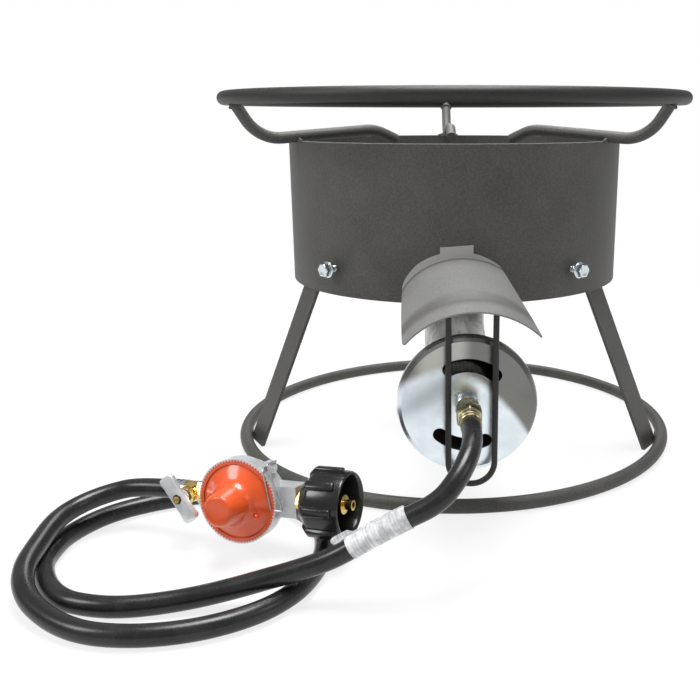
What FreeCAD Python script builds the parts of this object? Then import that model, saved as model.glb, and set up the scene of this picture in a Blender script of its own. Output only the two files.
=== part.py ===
"""Outdoor gas burner stand: ring frame, wind guard, cast burner, and a hose with its regulator.

Millimetres, +Z up.  The origin is on the floor, on the axis of the two rings.
The burner's air shutter faces -Y.  Every driving size is a cell of the sheet "Sizes".
"""
import FreeCAD, Part
import math
import os
import re
import Sketcher
from FreeCAD import Placement, Rotation, Vector

SIZES = {
    # ring frame
    "rod_diameter": 12.7,
    "top_ring_radius": 222.25,
    "stand_height": 348.5,
    "base_ring_radius": 220.5,
    "weld_gap": 0.15,
    # pot supports
    "support_rod": 10.6,
    "support_azimuth": 61,
    "support_turn": -4,
    "support_knee_inset": 23.25,
    "support_crest_radius": 86,
    "support_rise": 5.6,
    "support_tip_run": 22,
    "support_tip_drop": 9.5,
    "support_bend": 36,
    "support_notch": 1.4,
    # wind guard
    "guard_radius": 163.4,
    "guard_wall": 1.6,
    "guard_top": 304,
    "guard_height": 135,
    # legs
    "leg_azimuth": 58,
    "leg_turn": -3.6,
    "leg_sweep": 16,
    "leg_foot_inset": 11.3,
    "leg_back_foot_inset": 7.2,
    "leg_width": 31.75,
    "leg_thickness": 3.2,
    "leg_tab": 24,
    "leg_bend_drop": 2,
    "leg_floor_gap": 0.6,
    # bolts through the guard and the strap that they hold
    "bolt_azimuth": 41,
    "bolt_turn": -2.8,
    "bolt_height": 193.3,
    "bolt_shank": 6.35,
    "bolt_clearance": 0.2,
    "bolt_standoff": 7.5,
    "bolt_flange": 14.6,
    "bolt_flange_height": 1.4,
    "bolt_hex": 11.1,
    "bolt_head": 5.2,
    "bolt_tail": 5,
    "nut_height": 5.6,
    "strap_width": 22,
    "strap_thickness": 3,
    "strap_tab": 26,
    "strap_middle": 30,
    "strap_bend": 5,
    # heat shield over the air shutter
    "hood_radius": 74,
    "hood_half_angle": 46.5,
    "hood_sheet": 1.5,
    "hood_crease_height": 210.3,
    "hood_slope": 14.5,
    "hood_lip_slope": 19,
    "hood_bend_reach": 68,
    "hood_overhang": 18.4,
    "hood_roll": 3.5,
    "hood_back_radius": 59.1,
    "hood_back_half_angle": 48.5,
    "hood_back_roll": 13,
    "hood_skew": 0.06,
    "hood_flange": 5.5,
    "hood_tab_width": 28.4,
    "hood_tab_height": 10.2,
    "hood_tab_shift": -5,
    # wire that keeps the hose off the shutter
    "wire_diameter": 4.8,
    "wire_spacing": 36.6,
    "wire_inset": 3,
    "wire_bottom": 42.5,
    "wire_shift": 2.7,
    # burner casting
    "tube_height": 103.5,
    "cast_wall": 4.5,
    "elbow_radius": 50,
    "riser_radius": 31,
    "throat_radius": 25,
    "throat_back": 130,
    "throat_front": 184,
    "mouth_radius": 47,
    "mouth_reach": 240,
    "mouth_plate": 4.5,
    "hub_radius": 13,
    "hub_length": 18,
    "head_radius": 62,
    "head_bottom": 209,
    "head_shoulder": 224,
    "head_top": 248,
    "port_radius": 2,
    "port_circle": 52,
    "port_step": 14,
    "port_rings": 3,
    "port_count": 24,
    "port_count_step": 4,
    "lug_radius": 10,
    "lug_reach": 39,
    "burner_bolt_shank": 7.9,
    "burner_bolt_hex": 12.7,
    "burner_bolt_head": 5.5,
    "burner_bolt_depth": 11,
    # air shutter and the fitting that it turns on
    "shutter_radius": 56.5,
    "shutter_sheet": 1.2,
    "shutter_rim": 10,
    "shutter_edge": 4,
    "shutter_gap": 0.3,
    "shutter_turn": -8,
    "slot_radius": 33,
    "slot_width": 11,
    "slot_angle": 68,
    "mouth_slot_width": 13,
    "mouth_slot_angle": 88,
    "shutter_spring_radius": 8.7,
    "shutter_spring_wire": 1.6,
    "shutter_spring_height": 7.6,
    "shutter_spring_turns": 2.5,
    "running_gap": 0.05,
    "fitting_neck": 6.4,
    "fitting_collar": 9.5,
    "fitting_collar_width": 2,
    "fitting_hex": 17.5,
    "fitting_hex_width": 5,
    "fitting_thread": 7.4,
    "fitting_thread_length": 12,
    "fitting_bore": 2.4,
    "orifice_nose": 4.5,
    "orifice_nose_length": 10,
    "orifice_hole": 0.8,
    "swivel_hex": 19,
    "swivel_length": 18,
    "swivel_lip": 4,
    "fit_gap": 0.1,
    "ferrule_radius": 8.3,
    "ferrule_neck": 5.6,
    "ferrule_length": 17,
    "crimp_depth": 0.6,
    # hose
    "hose_diameter": 15,
    "hose_last_run": 33,
    "sleeve_gap": 0.3,
    "sleeve_wall": 0.5,
    # regulator group, placed where it lies in front of the stand
    "group_x": -171.83,
    "group_y": -268.92,
    "group_z": 41,
    "group_heading": -20.1,
    "group_pitch": 3,
    "group_tilt": 82.5,
    "flange_radius": 33,
    "flange_back": 4,
    "flange_front": 12,
    "crimp_height": 4.4,
    "crimp_lip": 1,
    "crimp_inner": 29.4,
    "bowl_radius": 27.5,
    "bowl_back": -13,
    "bowl_taper": 4,
    "bowl_floor": -9,
    "bowl_wall": 4,
    "inlet_reach": 45.5,
    "inlet_block_height": 24,
    "inlet_block_depth": 17,
    "inlet_block_back": -9,
    "inlet_thread": 6.4,
    "inlet_thread_length": 8,
    "outlet_reach": 37,
    "outlet_radius": 9.5,
    "outlet_bore": 4,
    "outlet_thread": 6.2,
    "outlet_thread_length": 6.5,
    "ear_angle": 48,
    "ear_hole_reach": 35,
    "ear_radius": 5.2,
    "ear_hole": 1.9,
    "cover_rim": 30.2,
    "cover_wall": 2,
    "cover_cone_foot": 29.2,
    "cover_cone_rise": 8.3,
    "dome_foot": 15.6,
    "dome_tip": 11.6,
    "dome_height": 21,
    "dome_round": 2.5,
    "vent_radius": 1.9,
    "vent_reach": 21,
    "vent_height": 2.4,
    "vent_angle": -25,
    "diaphragm_thickness": 1.1,
    "diaphragm_sink": 2.2,
    "plate_radius": 15.5,
    "plate_thickness": 1,
    "stem_radius": 2.9,
    "yoke_foot": -7.2,
    "yoke_top": 8.4,
    "yoke_width": 9.6,
    "yoke_depth": 6.4,
    "yoke_play": 0.5,
    "plate_travel": 1.5,
    "spring_coil": 6.6,
    "spring_wire": 1.4,
    "spring_turns": 5,
    "adjuster_height": 2.8,
    "adjuster_gap": 0.2,
    "adjuster_socket": 6.6,
    "pad_radius": 2.2,
    "pad_thickness": 1.4,
    "pad_gap": 0.1,
    "jet_radius": 4.9,
    "jet_nozzle": 2.6,
    "jet_tip": 3.2,
    "jet_end": 28.7,
    "jet_orifice": 0.8,
    "jet_hole": 1.2,
    # inlet connector
    "nipple_hex": 17.5,
    "nipple_hex_width": 5,
    "nipple_shank": 6,
    "nipple_shank_length": 14,
    "nipple_shoulder": 9.5,
    "nipple_shoulder_width": 3,
    "nipple_body": 7.3,
    "nipple_body_length": 14.5,
    "nose_radius": 4,
    "nose_length": 7,
    "wheel_radius": 25,
    "wheel_rib_radius": 28,
    "wheel_rear_radius": 17,
    "wheel_length": 36,
    "wheel_gap": 0.5,
    "wheel_edge": 1.4,
    "wheel_taper": 8,
    "wheel_socket": 21.5,
    "wheel_rib_width": 9,
    "wheel_rib_count": 8,
    "wheel_rib_inset": 5,
    # needle valve
    "valve_radius": 8,
    "valve_length": 17,
    "valve_hex": 17.5,
    "valve_hex_width": 4.5,
    "valve_stem_place": 10,
    "valve_ferrule_length": 12,
    "bonnet_radius": 7,
    "bonnet_reach": 11,
    "packing_hex": 12.7,
    "packing_height": 5,
    "valve_stem_radius": 3,
    "needle_taper": 2.5,
    "handle_length": 40,
    "handle_width": 11,
    "handle_thickness": 6,
    "handle_clearance": 1.2,
    "handle_hub": 6,
    "handle_hub_height": 2,
    "handle_turn": -54,
    "screw_head": 3.2,
    "screw_head_height": 1.4,
    "screw_shank": 1.4,
    "screw_length": 6,
    # wire loop in the flange's ear
    "loop_wire": 1.3,
    "loop_length": 30,
    "loop_spread": 10,
    "loop_lean": 6,
}

# Route of the hose's centre line, from the burner's ferrule to the valve's ferrule.
HOSE_ROUTE = [
    (0, -313, 103.5), (-3.5, -333, 98.5), (-12.5, -349.5, 87.5), (-26, -359, 74), (-51, -359.5, 57.5),
    (-75.5, -361, 50.5), (-97, -360.5, 39.5), (-121, -360.5, 29), (-146, -361, 20), (-172, -363, 13.5),
    (-197.5, -365.5, 9), (-221.5, -369.5, 7.6), (-243.5, -372, 7.6), (-264.5, -368.5, 7.6),
    (-283, -361, 7.6), (-301, -342, 7.6), (-315, -315, 7.6), (-318, -295, 7.6), (-316.5, -266, 7.6),
    (-303, -237.5, 7.6), (-286, -219, 7.6), (-264, -206, 7.6), (-245, -198, 7.6), (-222.5, -191.5, 7.6),
    (-194.5, -192.5, 7.6), (-165.5, -203, 7.6), (-139, -224.5, 7.6), (-120, -252, 7.6),
    (-111.5, -283.5, 7.6), (-112, -315, 7.6), (-118.5, -340.5, 7.6), (-127, -359, 7.6), (-141, -377, 7.6),
    (-160.5, -391, 7.6), (-183.5, -401, 7.6), (-210, -406, 7.6), (-234.5, -405.5, 7.6), (-255, -401, 7.6),
    (-274.5, -391, 8), (-292, -378, 10), (-304.5, -365.5, 13), (-313.5, -350.5, 16.5), (-318, -334, 20),
    (-318.5, -315, 22.5), (-319.5, -275.5, 25.5), (-308.5, -253, 28.5), (-288.5, -238.5, 32),
]
SLEEVE_CORNERS = (5, 6)
# Share of a straight run that a bend at its end may take.
NEAR_HALF = 0.4995
HOSE_SHARE = 0.45

doc = FreeCAD.newDocument("burner_stand")
sheet = doc.addObject("Spreadsheet::Sheet", "Sizes")
for row, (alias, value) in enumerate(SIZES.items(), start=1):
    sheet.set("A%d" % row, alias)
    sheet.set("B%d" % row, str(value))
    sheet.setAlias("B%d" % row, alias)
doc.recompute()

nodes = []


# Sizes and expressions

def cells(text):
    """Write the sheet's name in front of each alias in an expression."""
    return re.sub(r"[a-z][a-z_]+", lambda word: "Sizes." + word.group(0)
                  if word.group(0) in SIZES else word.group(0), str(text))


def size(text):
    """Value of an expression in the sheet's aliases."""
    value = sheet.evalExpression(cells(text))
    return float(getattr(value, "Value", value))


def bind(thing, **expressions):
    """Bind properties of an object to expressions in the sheet's aliases."""
    for name, text in expressions.items():
        thing.setExpression(name, cells(text))
    return thing


# Building blocks

def node(thing, label, placement=None):
    """Name a finished sub-part, place it and list it for export."""
    thing.Label = label
    if placement is not None:
        thing.Placement = placement
    nodes.append(thing)
    return thing


def place(x="0", y="0", z="0", rotation=None):
    return Placement(Vector(size(x), size(y), size(z)), rotation or Rotation())


def cylinder(name, radius, height, placement=None):
    solid = bind(doc.addObject("Part::Cylinder", name), Radius=radius, Height=height)
    solid.Placement = placement or Placement()
    return solid


def box(name, length, width, height, placement=None):
    solid = bind(doc.addObject("Part::Box", name), Length=length, Width=width, Height=height)
    solid.Placement = placement or Placement()
    return solid


def hexagon(name, across_flats, height, placement=None):
    solid = doc.addObject("Part::Prism", name)
    bind(solid, Circumradius="(%s) / sqrt(3)" % across_flats, Height=height)
    solid.Polygon = 6
    solid.Placement = placement or Placement()
    return solid


def fuse(name, *solids):
    joined = doc.addObject("Part::MultiFuse", name)
    joined.Shapes = list(solids)
    joined.Refine = True
    return joined


def cut(name, base, *tools):
    result = doc.addObject("Part::Cut", name)
    result.Base = base
    result.Tool = tools[0] if len(tools) == 1 else fuse(name + "_tools", *tools)
    return result


def common(name, first, second):
    result = doc.addObject("Part::Common", name)
    result.Base = first
    result.Tool = second
    return result


def group(name, *solids):
    result = doc.addObject("Part::Compound", name)
    result.Links = list(solids)
    return result


def shaped(name, shape):
    result = doc.addObject("Part::Feature", name)
    result.Shape = shape
    return result


def turned(name, corners, placement=None):
    """Body revolved about its own Z from a profile of (radius, height) expressions."""
    body = doc.addObject("PartDesign::Body", name)
    sketch = body.newObject("Sketcher::SketchObject", name + "_profile")
    sketch.AttachmentSupport = [(next(f for f in body.Origin.OriginFeatures if f.Role == "XZ_Plane"), "")]
    sketch.MapMode = "FlatFace"
    points = [Vector(size(radius), size(height), 0) for radius, height in corners]
    count = len(corners)
    for index in range(count):
        sketch.addGeometry(Part.LineSegment(points[index], points[(index + 1) % count]))
    for index in range(count):
        sketch.addConstraint(Sketcher.Constraint("Coincident", index, 2, (index + 1) % count, 1))
    for index, corner in enumerate(corners):
        for kind, text, value in zip(("DistanceX", "DistanceY"), corner, points[index]):
            pin = sketch.addConstraint(Sketcher.Constraint(kind, -1, 1, index, 1, value))
            sketch.setExpression("Constraints[%d]" % pin, cells(text))
    turn = body.newObject("PartDesign::Revolution", name + "_turn")
    turn.Profile = sketch
    turn.ReferenceAxis = (sketch, ["V_Axis"])
    turn.Angle = 360
    body.Placement = placement or Placement()
    return body


def rounded_wire(points, radius_at):
    """Straight runs through the points, joined by tangent arcs; radius_at(index, runs, turn)."""
    edges = []
    start = points[0]
    for index in range(1, len(points) - 1):
        corner = points[index]
        back = points[index - 1] - corner
        ahead = points[index + 1] - corner
        runs = (back.Length, ahead.Length)
        turn = math.pi - back.getAngle(ahead)
        radius = radius_at(index, runs, turn)
        setback = radius * math.tan(turn / 2)
        back.normalize()
        ahead.normalize()
        inward = back + ahead
        inward.normalize()
        first = corner + back * setback
        last = corner + ahead * setback
        middle = corner + inward * (radius / math.cos(turn / 2) - radius)
        edges.append(Part.LineSegment(start, first).toShape())
        edges.append(Part.Arc(first, middle, last).toShape())
        start = last
    edges.append(Part.LineSegment(start, points[-1]).toShape())
    return Part.Wire(edges)


def swept_rod(wire, radius):
    """Round bar along a wire."""
    first = wire.OrderedEdges[0]
    start = first.valueAt(first.FirstParameter)
    along = first.tangentAt(first.FirstParameter)
    section = Part.Wire([Part.Circle(start, along, radius).toShape()])
    return wire.makePipeShell([section], True, False)


def flat_bar(points, thickness, bend, width):
    """Strip of sheet bent along a centre line in the XZ plane, centred on Y = 0."""
    sides = []
    for side in (1, -1):
        line = []
        radii = [0]
        for index, point in enumerate(points):
            normals = []
            for start, end in ((index - 1, index), (index, index + 1)):
                if start >= 0 and end < len(points):
                    run = points[end] - points[start]
                    run.normalize()
                    normals.append(Vector(-run.z, 0, run.x))
            normal = normals[0] + normals[-1]
            normal.normalize()
            line.append(point + normal * (side * thickness / 2 / normal.dot(normals[0])))
            if len(normals) == 2:
                left_turn = normals[0].cross(normals[1]).y < 0
                radii.append(bend - thickness / 2 if left_turn == (side > 0) else bend + thickness / 2)
        sides.append(rounded_wire(line, lambda corner, runs, turn, radii=radii: radii[corner]))
    first, second = (side.OrderedVertexes for side in sides)
    ends = [Part.LineSegment(first[end].Point, second[end].Point).toShape() for end in (0, -1)]
    face = Part.Face(Part.Wire(Part.__sortEdges__(sides[0].Edges + sides[1].Edges + ends)))
    face.translate(Vector(0, -width / 2, 0))
    return face.extrude(Vector(0, width, 0))


def arc_slot(name, radius, width, angle, height, placement):
    """Cutter for a curved slot with round ends, centred on local +Y."""
    half = math.radians(size(angle)) / 2
    middle = size(radius)
    edge = size(width) / 2

    def at(reach, turn):
        return Vector(reach * math.sin(turn), reach * math.cos(turn), 0)

    def end(turn, outward):
        tip = at(middle, turn) + Vector(math.cos(turn), -math.sin(turn), 0) * (edge * outward)
        return Part.Arc(at(middle + edge, turn), tip, at(middle - edge, turn))

    outer = Part.Arc(at(middle + edge, -half), at(middle + edge, 0), at(middle + edge, half))
    inner = Part.Arc(at(middle - edge, half), at(middle - edge, 0), at(middle - edge, -half))
    outline = [outer, end(half, 1), inner, end(-half, -1)]
    face = Part.Face(Part.Wire(Part.__sortEdges__([curve.toShape() for curve in outline])))
    cutter = shaped(name, face.extrude(Vector(0, 0, size(height))))
    cutter.Placement = placement
    return cutter


# Frames: azimuths are counted from the front, -Y, positive towards +X

TO_FRONT = Rotation(Vector(1, 0, 0), 90)
ALONG_X = Rotation(Vector(0, 1, 0), 90)
ALONG_MINUS_X = Rotation(Vector(0, 1, 0), -90)


def at_azimuth(angle):
    """Turn local +X outwards along an azimuth."""
    return Placement(Vector(), Rotation(Vector(0, 0, 1), angle - 90))


def outward(angle, reach, height):
    """Place a local Z axis so that it points out of the guard at an azimuth."""
    turn = at_azimuth(angle)
    return turn.multiply(Placement(Vector(reach, 0, height), ALONG_X))


FRONT = place(z="tube_height", rotation=TO_FRONT)
GROUP = Placement(Vector(size("group_x"), size("group_y"), size("group_z")),
                  Rotation(Vector(0, 0, 1), size("group_heading"))
                  * Rotation(Vector(0, 1, 0), -size("group_pitch"))
                  * Rotation(Vector(1, 0, 0), size("group_tilt")))


def in_group(x="0", y="0", z="0", rotation=None):
    return GROUP.multiply(place(x, y, z, rotation))


# Ring frame

def ring(label, radius, height):
    torus = bind(doc.addObject("Part::Torus", label), Radius1=radius, Radius2="rod_diameter / 2")
    torus.setExpression("Placement.Base.z", cells(height))
    return node(torus, label)


def pot_support(label, azimuth):
    """Bent bar from the top ring over the guard's edge to the middle."""
    rod = size("support_rod") / 2
    seat_radius = size("guard_radius - guard_wall / 2")
    seat = size("guard_top + support_rod / 2 - support_notch")
    crest = seat + size("support_rise")
    grade = size("support_rise") / (seat_radius - size("support_crest_radius"))
    knee_radius = size("top_ring_radius - support_knee_inset")
    knee = Vector(knee_radius, 0, seat - grade * (knee_radius - seat_radius))
    ring_centre = Vector(size("top_ring_radius"), 0, size("stand_height - rod_diameter / 2"))
    path = [ring_centre, knee,
            Vector(size("support_crest_radius"), 0, crest),
            Vector(size("support_crest_radius - support_tip_run"), 0, crest - size("support_tip_drop"))]
    bent = rounded_wire(path, lambda corner, runs, turn: size("support_bend"))
    bar = shaped(label + "_bar", swept_rod(bent, rod))
    ring_space = bind(doc.addObject("Part::Torus", label + "_cope"), Radius1="top_ring_radius",
                      Radius2="rod_diameter / 2 + weld_gap")
    ring_space.setExpression("Placement.Base.z", cells("stand_height - rod_diameter / 2"))
    coped = cut(label, bar, ring_space)
    return node(coped, label, at_azimuth(azimuth))


def leg(label, azimuth, sweep, foot_radius):
    """Flat bar bent once: it lies on the guard's inside, then slopes out and round to the base ring."""
    half_width = size("leg_width") / 2
    half_thick = size("leg_thickness") / 2
    bottom = size("guard_top - guard_height - leg_bend_drop")
    turn = math.radians(sweep)
    foot = Vector(math.cos(turn) * foot_radius, math.sin(turn) * foot_radius, size("leg_floor_gap"))
    lean = foot.y / (bottom - foot.z)
    corner = half_width + abs(lean) * size("leg_tab")
    inside = math.sqrt(size("guard_radius - guard_wall") ** 2 - corner ** 2)
    bend = Vector(inside - size("weld_gap") - half_thick, 0, bottom)
    top = bend + Vector(0, -lean, 1) * size("leg_tab")

    def section(middle):
        corners = [middle + Vector(x * half_thick, y * half_width, 0)
                   for x, y in ((-1, -1), (1, -1), (1, 1), (-1, 1), (-1, -1))]
        return Part.makePolygon(corners)

    lengths = [Part.makeLoft([section(start), section(end)], True, True)
               for start, end in ((top, bend), (bend, foot))]
    return node(shaped(label, lengths[0].fuse(lengths[1]).removeSplitter()), label, at_azimuth(azimuth))


def wind_guard():
    """Open round shell with a seat in its top edge for each support and holes for the bolts."""
    bottom = "guard_top - guard_height"
    wall = cut("guard_wall_shell", cylinder("guard_outside", "guard_radius", "guard_height", place(z=bottom)),
               cylinder("guard_inside", "guard_radius - guard_wall", "guard_height", place(z=bottom)))
    tools = []
    for index, angle in enumerate(SUPPORT_ANGLES.values()):
        tools.append(cylinder("guard_seat_%d" % index, "support_rod / 2 + weld_gap", "guard_radius",
                              outward(angle, size("guard_radius / 2"),
                                      size("guard_top + support_rod / 2 - support_notch"))))
    for index, angle in enumerate(BOLT_ANGLES):
        tools.append(cylinder("guard_hole_%d" % index, "bolt_shank / 2 + bolt_clearance", "guard_radius",
                              outward(angle, size("guard_radius / 2"), size("bolt_height"))))
    return node(cut("wind_guard", wall, *tools), "wind_guard")


SUPPORT_ANGLES = {"left": size("support_turn - support_azimuth"),
                  "right": size("support_turn + support_azimuth"), "back": 180}
LEG_ANGLES = {"left": size("leg_turn - leg_azimuth"), "right": size("leg_turn + leg_azimuth"),
              "back": 180 + size("leg_turn")}
LEG_FEET = {"left": (-size("leg_sweep"), size("base_ring_radius - leg_foot_inset")),
            "right": (size("leg_sweep"), size("base_ring_radius - leg_foot_inset")),
            "back": (0, size("base_ring_radius - leg_back_foot_inset"))}
BOLT_ANGLES = (size("bolt_turn - bolt_azimuth"), size("bolt_turn + bolt_azimuth"))

ring("top_ring", "top_ring_radius", "stand_height - rod_diameter / 2")
ring("base_ring", "base_ring_radius", "rod_diameter / 2")
for side, angle in SUPPORT_ANGLES.items():
    pot_support("pot_support_" + side, angle)
for side, angle in LEG_ANGLES.items():
    leg("leg_" + side, angle, *LEG_FEET[side])
wind_guard()


# Guard bolts, nuts and the strap that carries the burner

STRAP_TURN = Placement(Vector(), Rotation(Vector(0, 0, 1), size("bolt_turn")))
STRAP_FACE = math.sqrt(size("guard_radius - guard_wall") ** 2 - size("strap_tab / 2") ** 2) - size("weld_gap")


def guard_bolt(name, angle):
    """Hex flange bolt: its head stands a little off the guard."""
    seat = size("guard_radius + bolt_standoff")
    inner_end = STRAP_FACE - size("strap_thickness + nut_height + bolt_tail")
    shank = cylinder(name + "_shank", "bolt_shank / 2", seat - inner_end + size("bolt_flange_height"),
                     outward(angle, inner_end, size("bolt_height")))
    flange = cylinder(name + "_flange", "bolt_flange / 2", "bolt_flange_height",
                      outward(angle, seat, size("bolt_height")))
    head = hexagon(name + "_head", "bolt_hex", "bolt_head",
                   outward(angle, seat + size("bolt_flange_height"), size("bolt_height")))
    return fuse(name, shank, flange, head)


def guard_nut(name, angle):
    """Nut against the inside of the strap."""
    seat = STRAP_FACE - size("strap_thickness + weld_gap + nut_height")
    outside = hexagon(name + "_hex", "bolt_hex", "nut_height", outward(angle, seat, size("bolt_height")))
    bore = cylinder(name + "_bore", "bolt_shank / 2 + fit_gap", "nut_height",
                    outward(angle, seat, size("bolt_height")))
    return cut(name, outside, bore)


def burner_strap():
    """Flat strap from bolt to bolt, bent inwards to the burner's lug."""
    turn = math.radians(size("bolt_azimuth"))
    reach = STRAP_FACE - size("strap_thickness / 2")
    bolt = Vector(math.sin(turn) * reach, 0, -math.cos(turn) * reach)
    along = Vector(math.cos(turn), 0, math.sin(turn)) * size("strap_tab / 2")
    right = [Vector(size("strap_middle / 2"), 0, -size("lug_reach + weld_gap + strap_thickness / 2")),
             bolt - along, bolt + along]
    left = [Vector(-point.x, 0, point.z) for point in reversed(right)]
    bar = shaped("strap_bar", flat_bar(left + right, size("strap_thickness"), size("strap_bend"),
                                       size("strap_width")))
    bar.Placement = STRAP_TURN.multiply(place(z="bolt_height", rotation=Rotation(Vector(1, 0, 0), -90)))
    holes = [cylinder("strap_hole_%d" % index, "bolt_shank / 2 + bolt_clearance", "guard_radius",
                      outward(angle, size("guard_radius / 2"), size("bolt_height")))
             for index, angle in enumerate(BOLT_ANGLES)]
    holes.append(cylinder("strap_middle_hole", "burner_bolt_shank / 2 + bolt_clearance", "lug_reach * 2",
                          STRAP_TURN.multiply(place(z="bolt_height", rotation=TO_FRONT))))
    return node(cut("burner_strap", bar, *holes), "burner_strap")


def burner_bolt():
    """Hex bolt through the strap's middle into the burner's lug."""
    seat = "lug_reach + strap_thickness + 2 * weld_gap"
    shank = cylinder("burner_bolt_shank_bar", "burner_bolt_shank / 2",
                     "burner_bolt_depth + strap_thickness + 2 * weld_gap",
                     STRAP_TURN.multiply(place(y="burner_bolt_depth - lug_reach", z="bolt_height",
                                               rotation=TO_FRONT)))
    head = hexagon("burner_bolt_head_hex", "burner_bolt_hex", "burner_bolt_head",
                   STRAP_TURN.multiply(place(y="-(%s)" % seat, z="bolt_height", rotation=TO_FRONT)))
    return node(fuse("burner_bolt", shank, head), "burner_bolt")


for label, make in (("guard_bolts", guard_bolt), ("guard_nuts", guard_nut)):
    pair = [make("%s_%d" % (label, index), angle) for index, angle in enumerate(BOLT_ANGLES)]
    node(group(label, *pair), label)
burner_strap()
burner_bolt()


# Heat shield and the wire under it

HOOD_REACH = "mouth_reach - guard_radius + hood_overhang"


def hood_apex(reach):
    """Height of the shield's top line at a distance out from the guard."""
    bend = size("hood_bend_reach")
    drop = min(reach, bend) * math.tan(math.radians(size("hood_slope")))
    drop += max(reach - bend, 0) * math.tan(math.radians(size("hood_lip_slope")))
    return size("hood_crease_height") - drop


def hood_radius(reach):
    """Radius of the shield's arch, which widens towards the lip."""
    return size("hood_back_radius") + size("hood_radius - hood_back_radius") * reach / size(HOOD_REACH)


def hood_section(reach, under, over):
    """Arched strip across the shield, upright, at a distance out from the guard."""
    share = reach / size(HOOD_REACH)
    half = size("hood_back_half_angle") + size("hood_half_angle - hood_back_half_angle") * share
    roll = size("hood_back_roll") + size("hood_roll - hood_back_roll") * share
    radius = hood_radius(reach)
    centre = Vector(size("hood_skew") * reach, -size("guard_radius") - reach, hood_apex(reach) - radius)

    def at(distance, angle):
        turn = math.radians(angle + roll)
        return centre + Vector(-math.sin(turn), 0, math.cos(turn)) * (radius + distance)

    arcs = [Part.Arc(at(face, -half), at(face, 0), at(face, half)).toShape() for face in (under, over)]
    ends = [Part.LineSegment(at(under, angle), at(over, angle)).toShape() for angle in (-half, half)]
    return Part.Wire(Part.__sortEdges__(arcs + ends))


def heat_shield():
    """Arched sheet over the air shutter, with a flange and a tab that lie on the guard."""
    under = -size("hood_sheet")
    back = -size("guard_radius / 4")
    rows = [hood_section(reach, under, 0) for reach in (back, size("hood_bend_reach"), size(HOOD_REACH))]
    roof, lip = (Part.makeLoft(list(pair), True, True) for pair in zip(rows, rows[1:]))
    inside = size("guard_radius + weld_gap")
    tall = size("guard_top")
    core = Part.makeCylinder(inside, tall)
    skin = Part.makeCylinder(inside + size("hood_sheet"), tall).cut(core)
    band = Part.Face(hood_section(0, 2 * under, size("hood_flange")))
    band.translate(Vector(0, -back, 0))
    band = band.extrude(Vector(0, 3 * back, 0))
    tab = Part.makeBox(size("hood_tab_width"), size("guard_radius"), size("hood_tab_height + hood_sheet"))
    tab.translate(Vector(size("hood_tab_shift - hood_tab_width / 2"), -size("guard_radius + hood_flange"),
                         hood_apex(0) - size("hood_sheet")))
    sheet_metal = roof.fuse([lip]).cut(core).fuse([band.common(skin), tab.common(skin)]).removeSplitter()
    return node(shaped("heat_shield", sheet_metal), "heat_shield")


def hose_guard():
    """U of wire that hangs under the shield's lip, in front of the shutter."""
    wire = size("wire_diameter / 2")
    side = size("wire_spacing / 2")
    reach = size(HOOD_REACH + " - wire_inset")
    inside = hood_radius(reach) - size("hood_sheet")
    bottom = size("wire_bottom")
    front = -size("guard_radius") - reach
    path = []
    for across in (size("wire_shift") - side, size("wire_shift") + side):
        aside = abs(across - size("hood_skew") * reach) + wire
        under = hood_apex(reach + wire) - hood_radius(reach) + math.sqrt(inside ** 2 - aside ** 2)
        path += [Vector(across, front, under - size("weld_gap")), Vector(across, front, bottom)]
    path[2:] = path[:1:-1]
    bent = rounded_wire(path, lambda corner, runs, turn: side - size("weld_gap"))
    return node(shaped("hose_guard", swept_rod(bent, wire)), "hose_guard")


heat_shield()
hose_guard()


# Burner casting: mixing tube, elbow, riser and head

def casting_solid(name, inset, plate):
    """Outside of the casting, or with an inset its hollow, which stops short of the mouth and the top."""
    elbow = size("elbow_radius")
    riser = "riser_radius - %s" % inset
    throat = "throat_radius - %s" % inset
    tube = turned(name + "_tube", [
        ("0", "elbow_radius"), (riser, "elbow_radius"), (throat, "throat_back"), (throat, "throat_front"),
        ("mouth_radius - %s" % inset, "mouth_reach - 2 * mouth_plate"),
        ("mouth_radius - %s" % inset, "mouth_reach - %s" % plate), ("0", "mouth_reach - %s" % plate)], FRONT)
    bend = bind(doc.addObject("Part::Torus", name + "_elbow"), Radius1="elbow_radius", Radius2=riser)
    bend.Angle3 = 90
    bend.Placement = Placement(Vector(0, -elbow, size("tube_height") + elbow), ALONG_X)
    upright = cylinder(name + "_riser", riser, "head_bottom - tube_height - elbow_radius",
                       place(z="tube_height + elbow_radius"))
    head = turned(name + "_head", [
        ("0", "head_bottom"), (riser, "head_bottom"), ("head_radius - %s" % inset, "head_shoulder"),
        ("head_radius - %s" % inset, "head_top - %s" % inset), ("0", "head_top - %s" % inset)])
    return fuse(name, tube, bend, upright, head)


def ports():
    """Three rings of flame ports through the head's top."""
    drills = []
    for ring_index in range(int(size("port_rings"))):
        count = int(size("port_count") - ring_index * size("port_count_step"))
        radius = size("port_circle") - ring_index * size("port_step")
        for step in range(count):
            turn = 2 * math.pi * step / count
            foot = Vector(radius * math.cos(turn), radius * math.sin(turn), size("head_top - 2 * cast_wall"))
            drills.append(Part.makeCylinder(size("port_radius"), size("4 * cast_wall"), foot))
    return shaped("ports", Part.makeCompound(drills))


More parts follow.
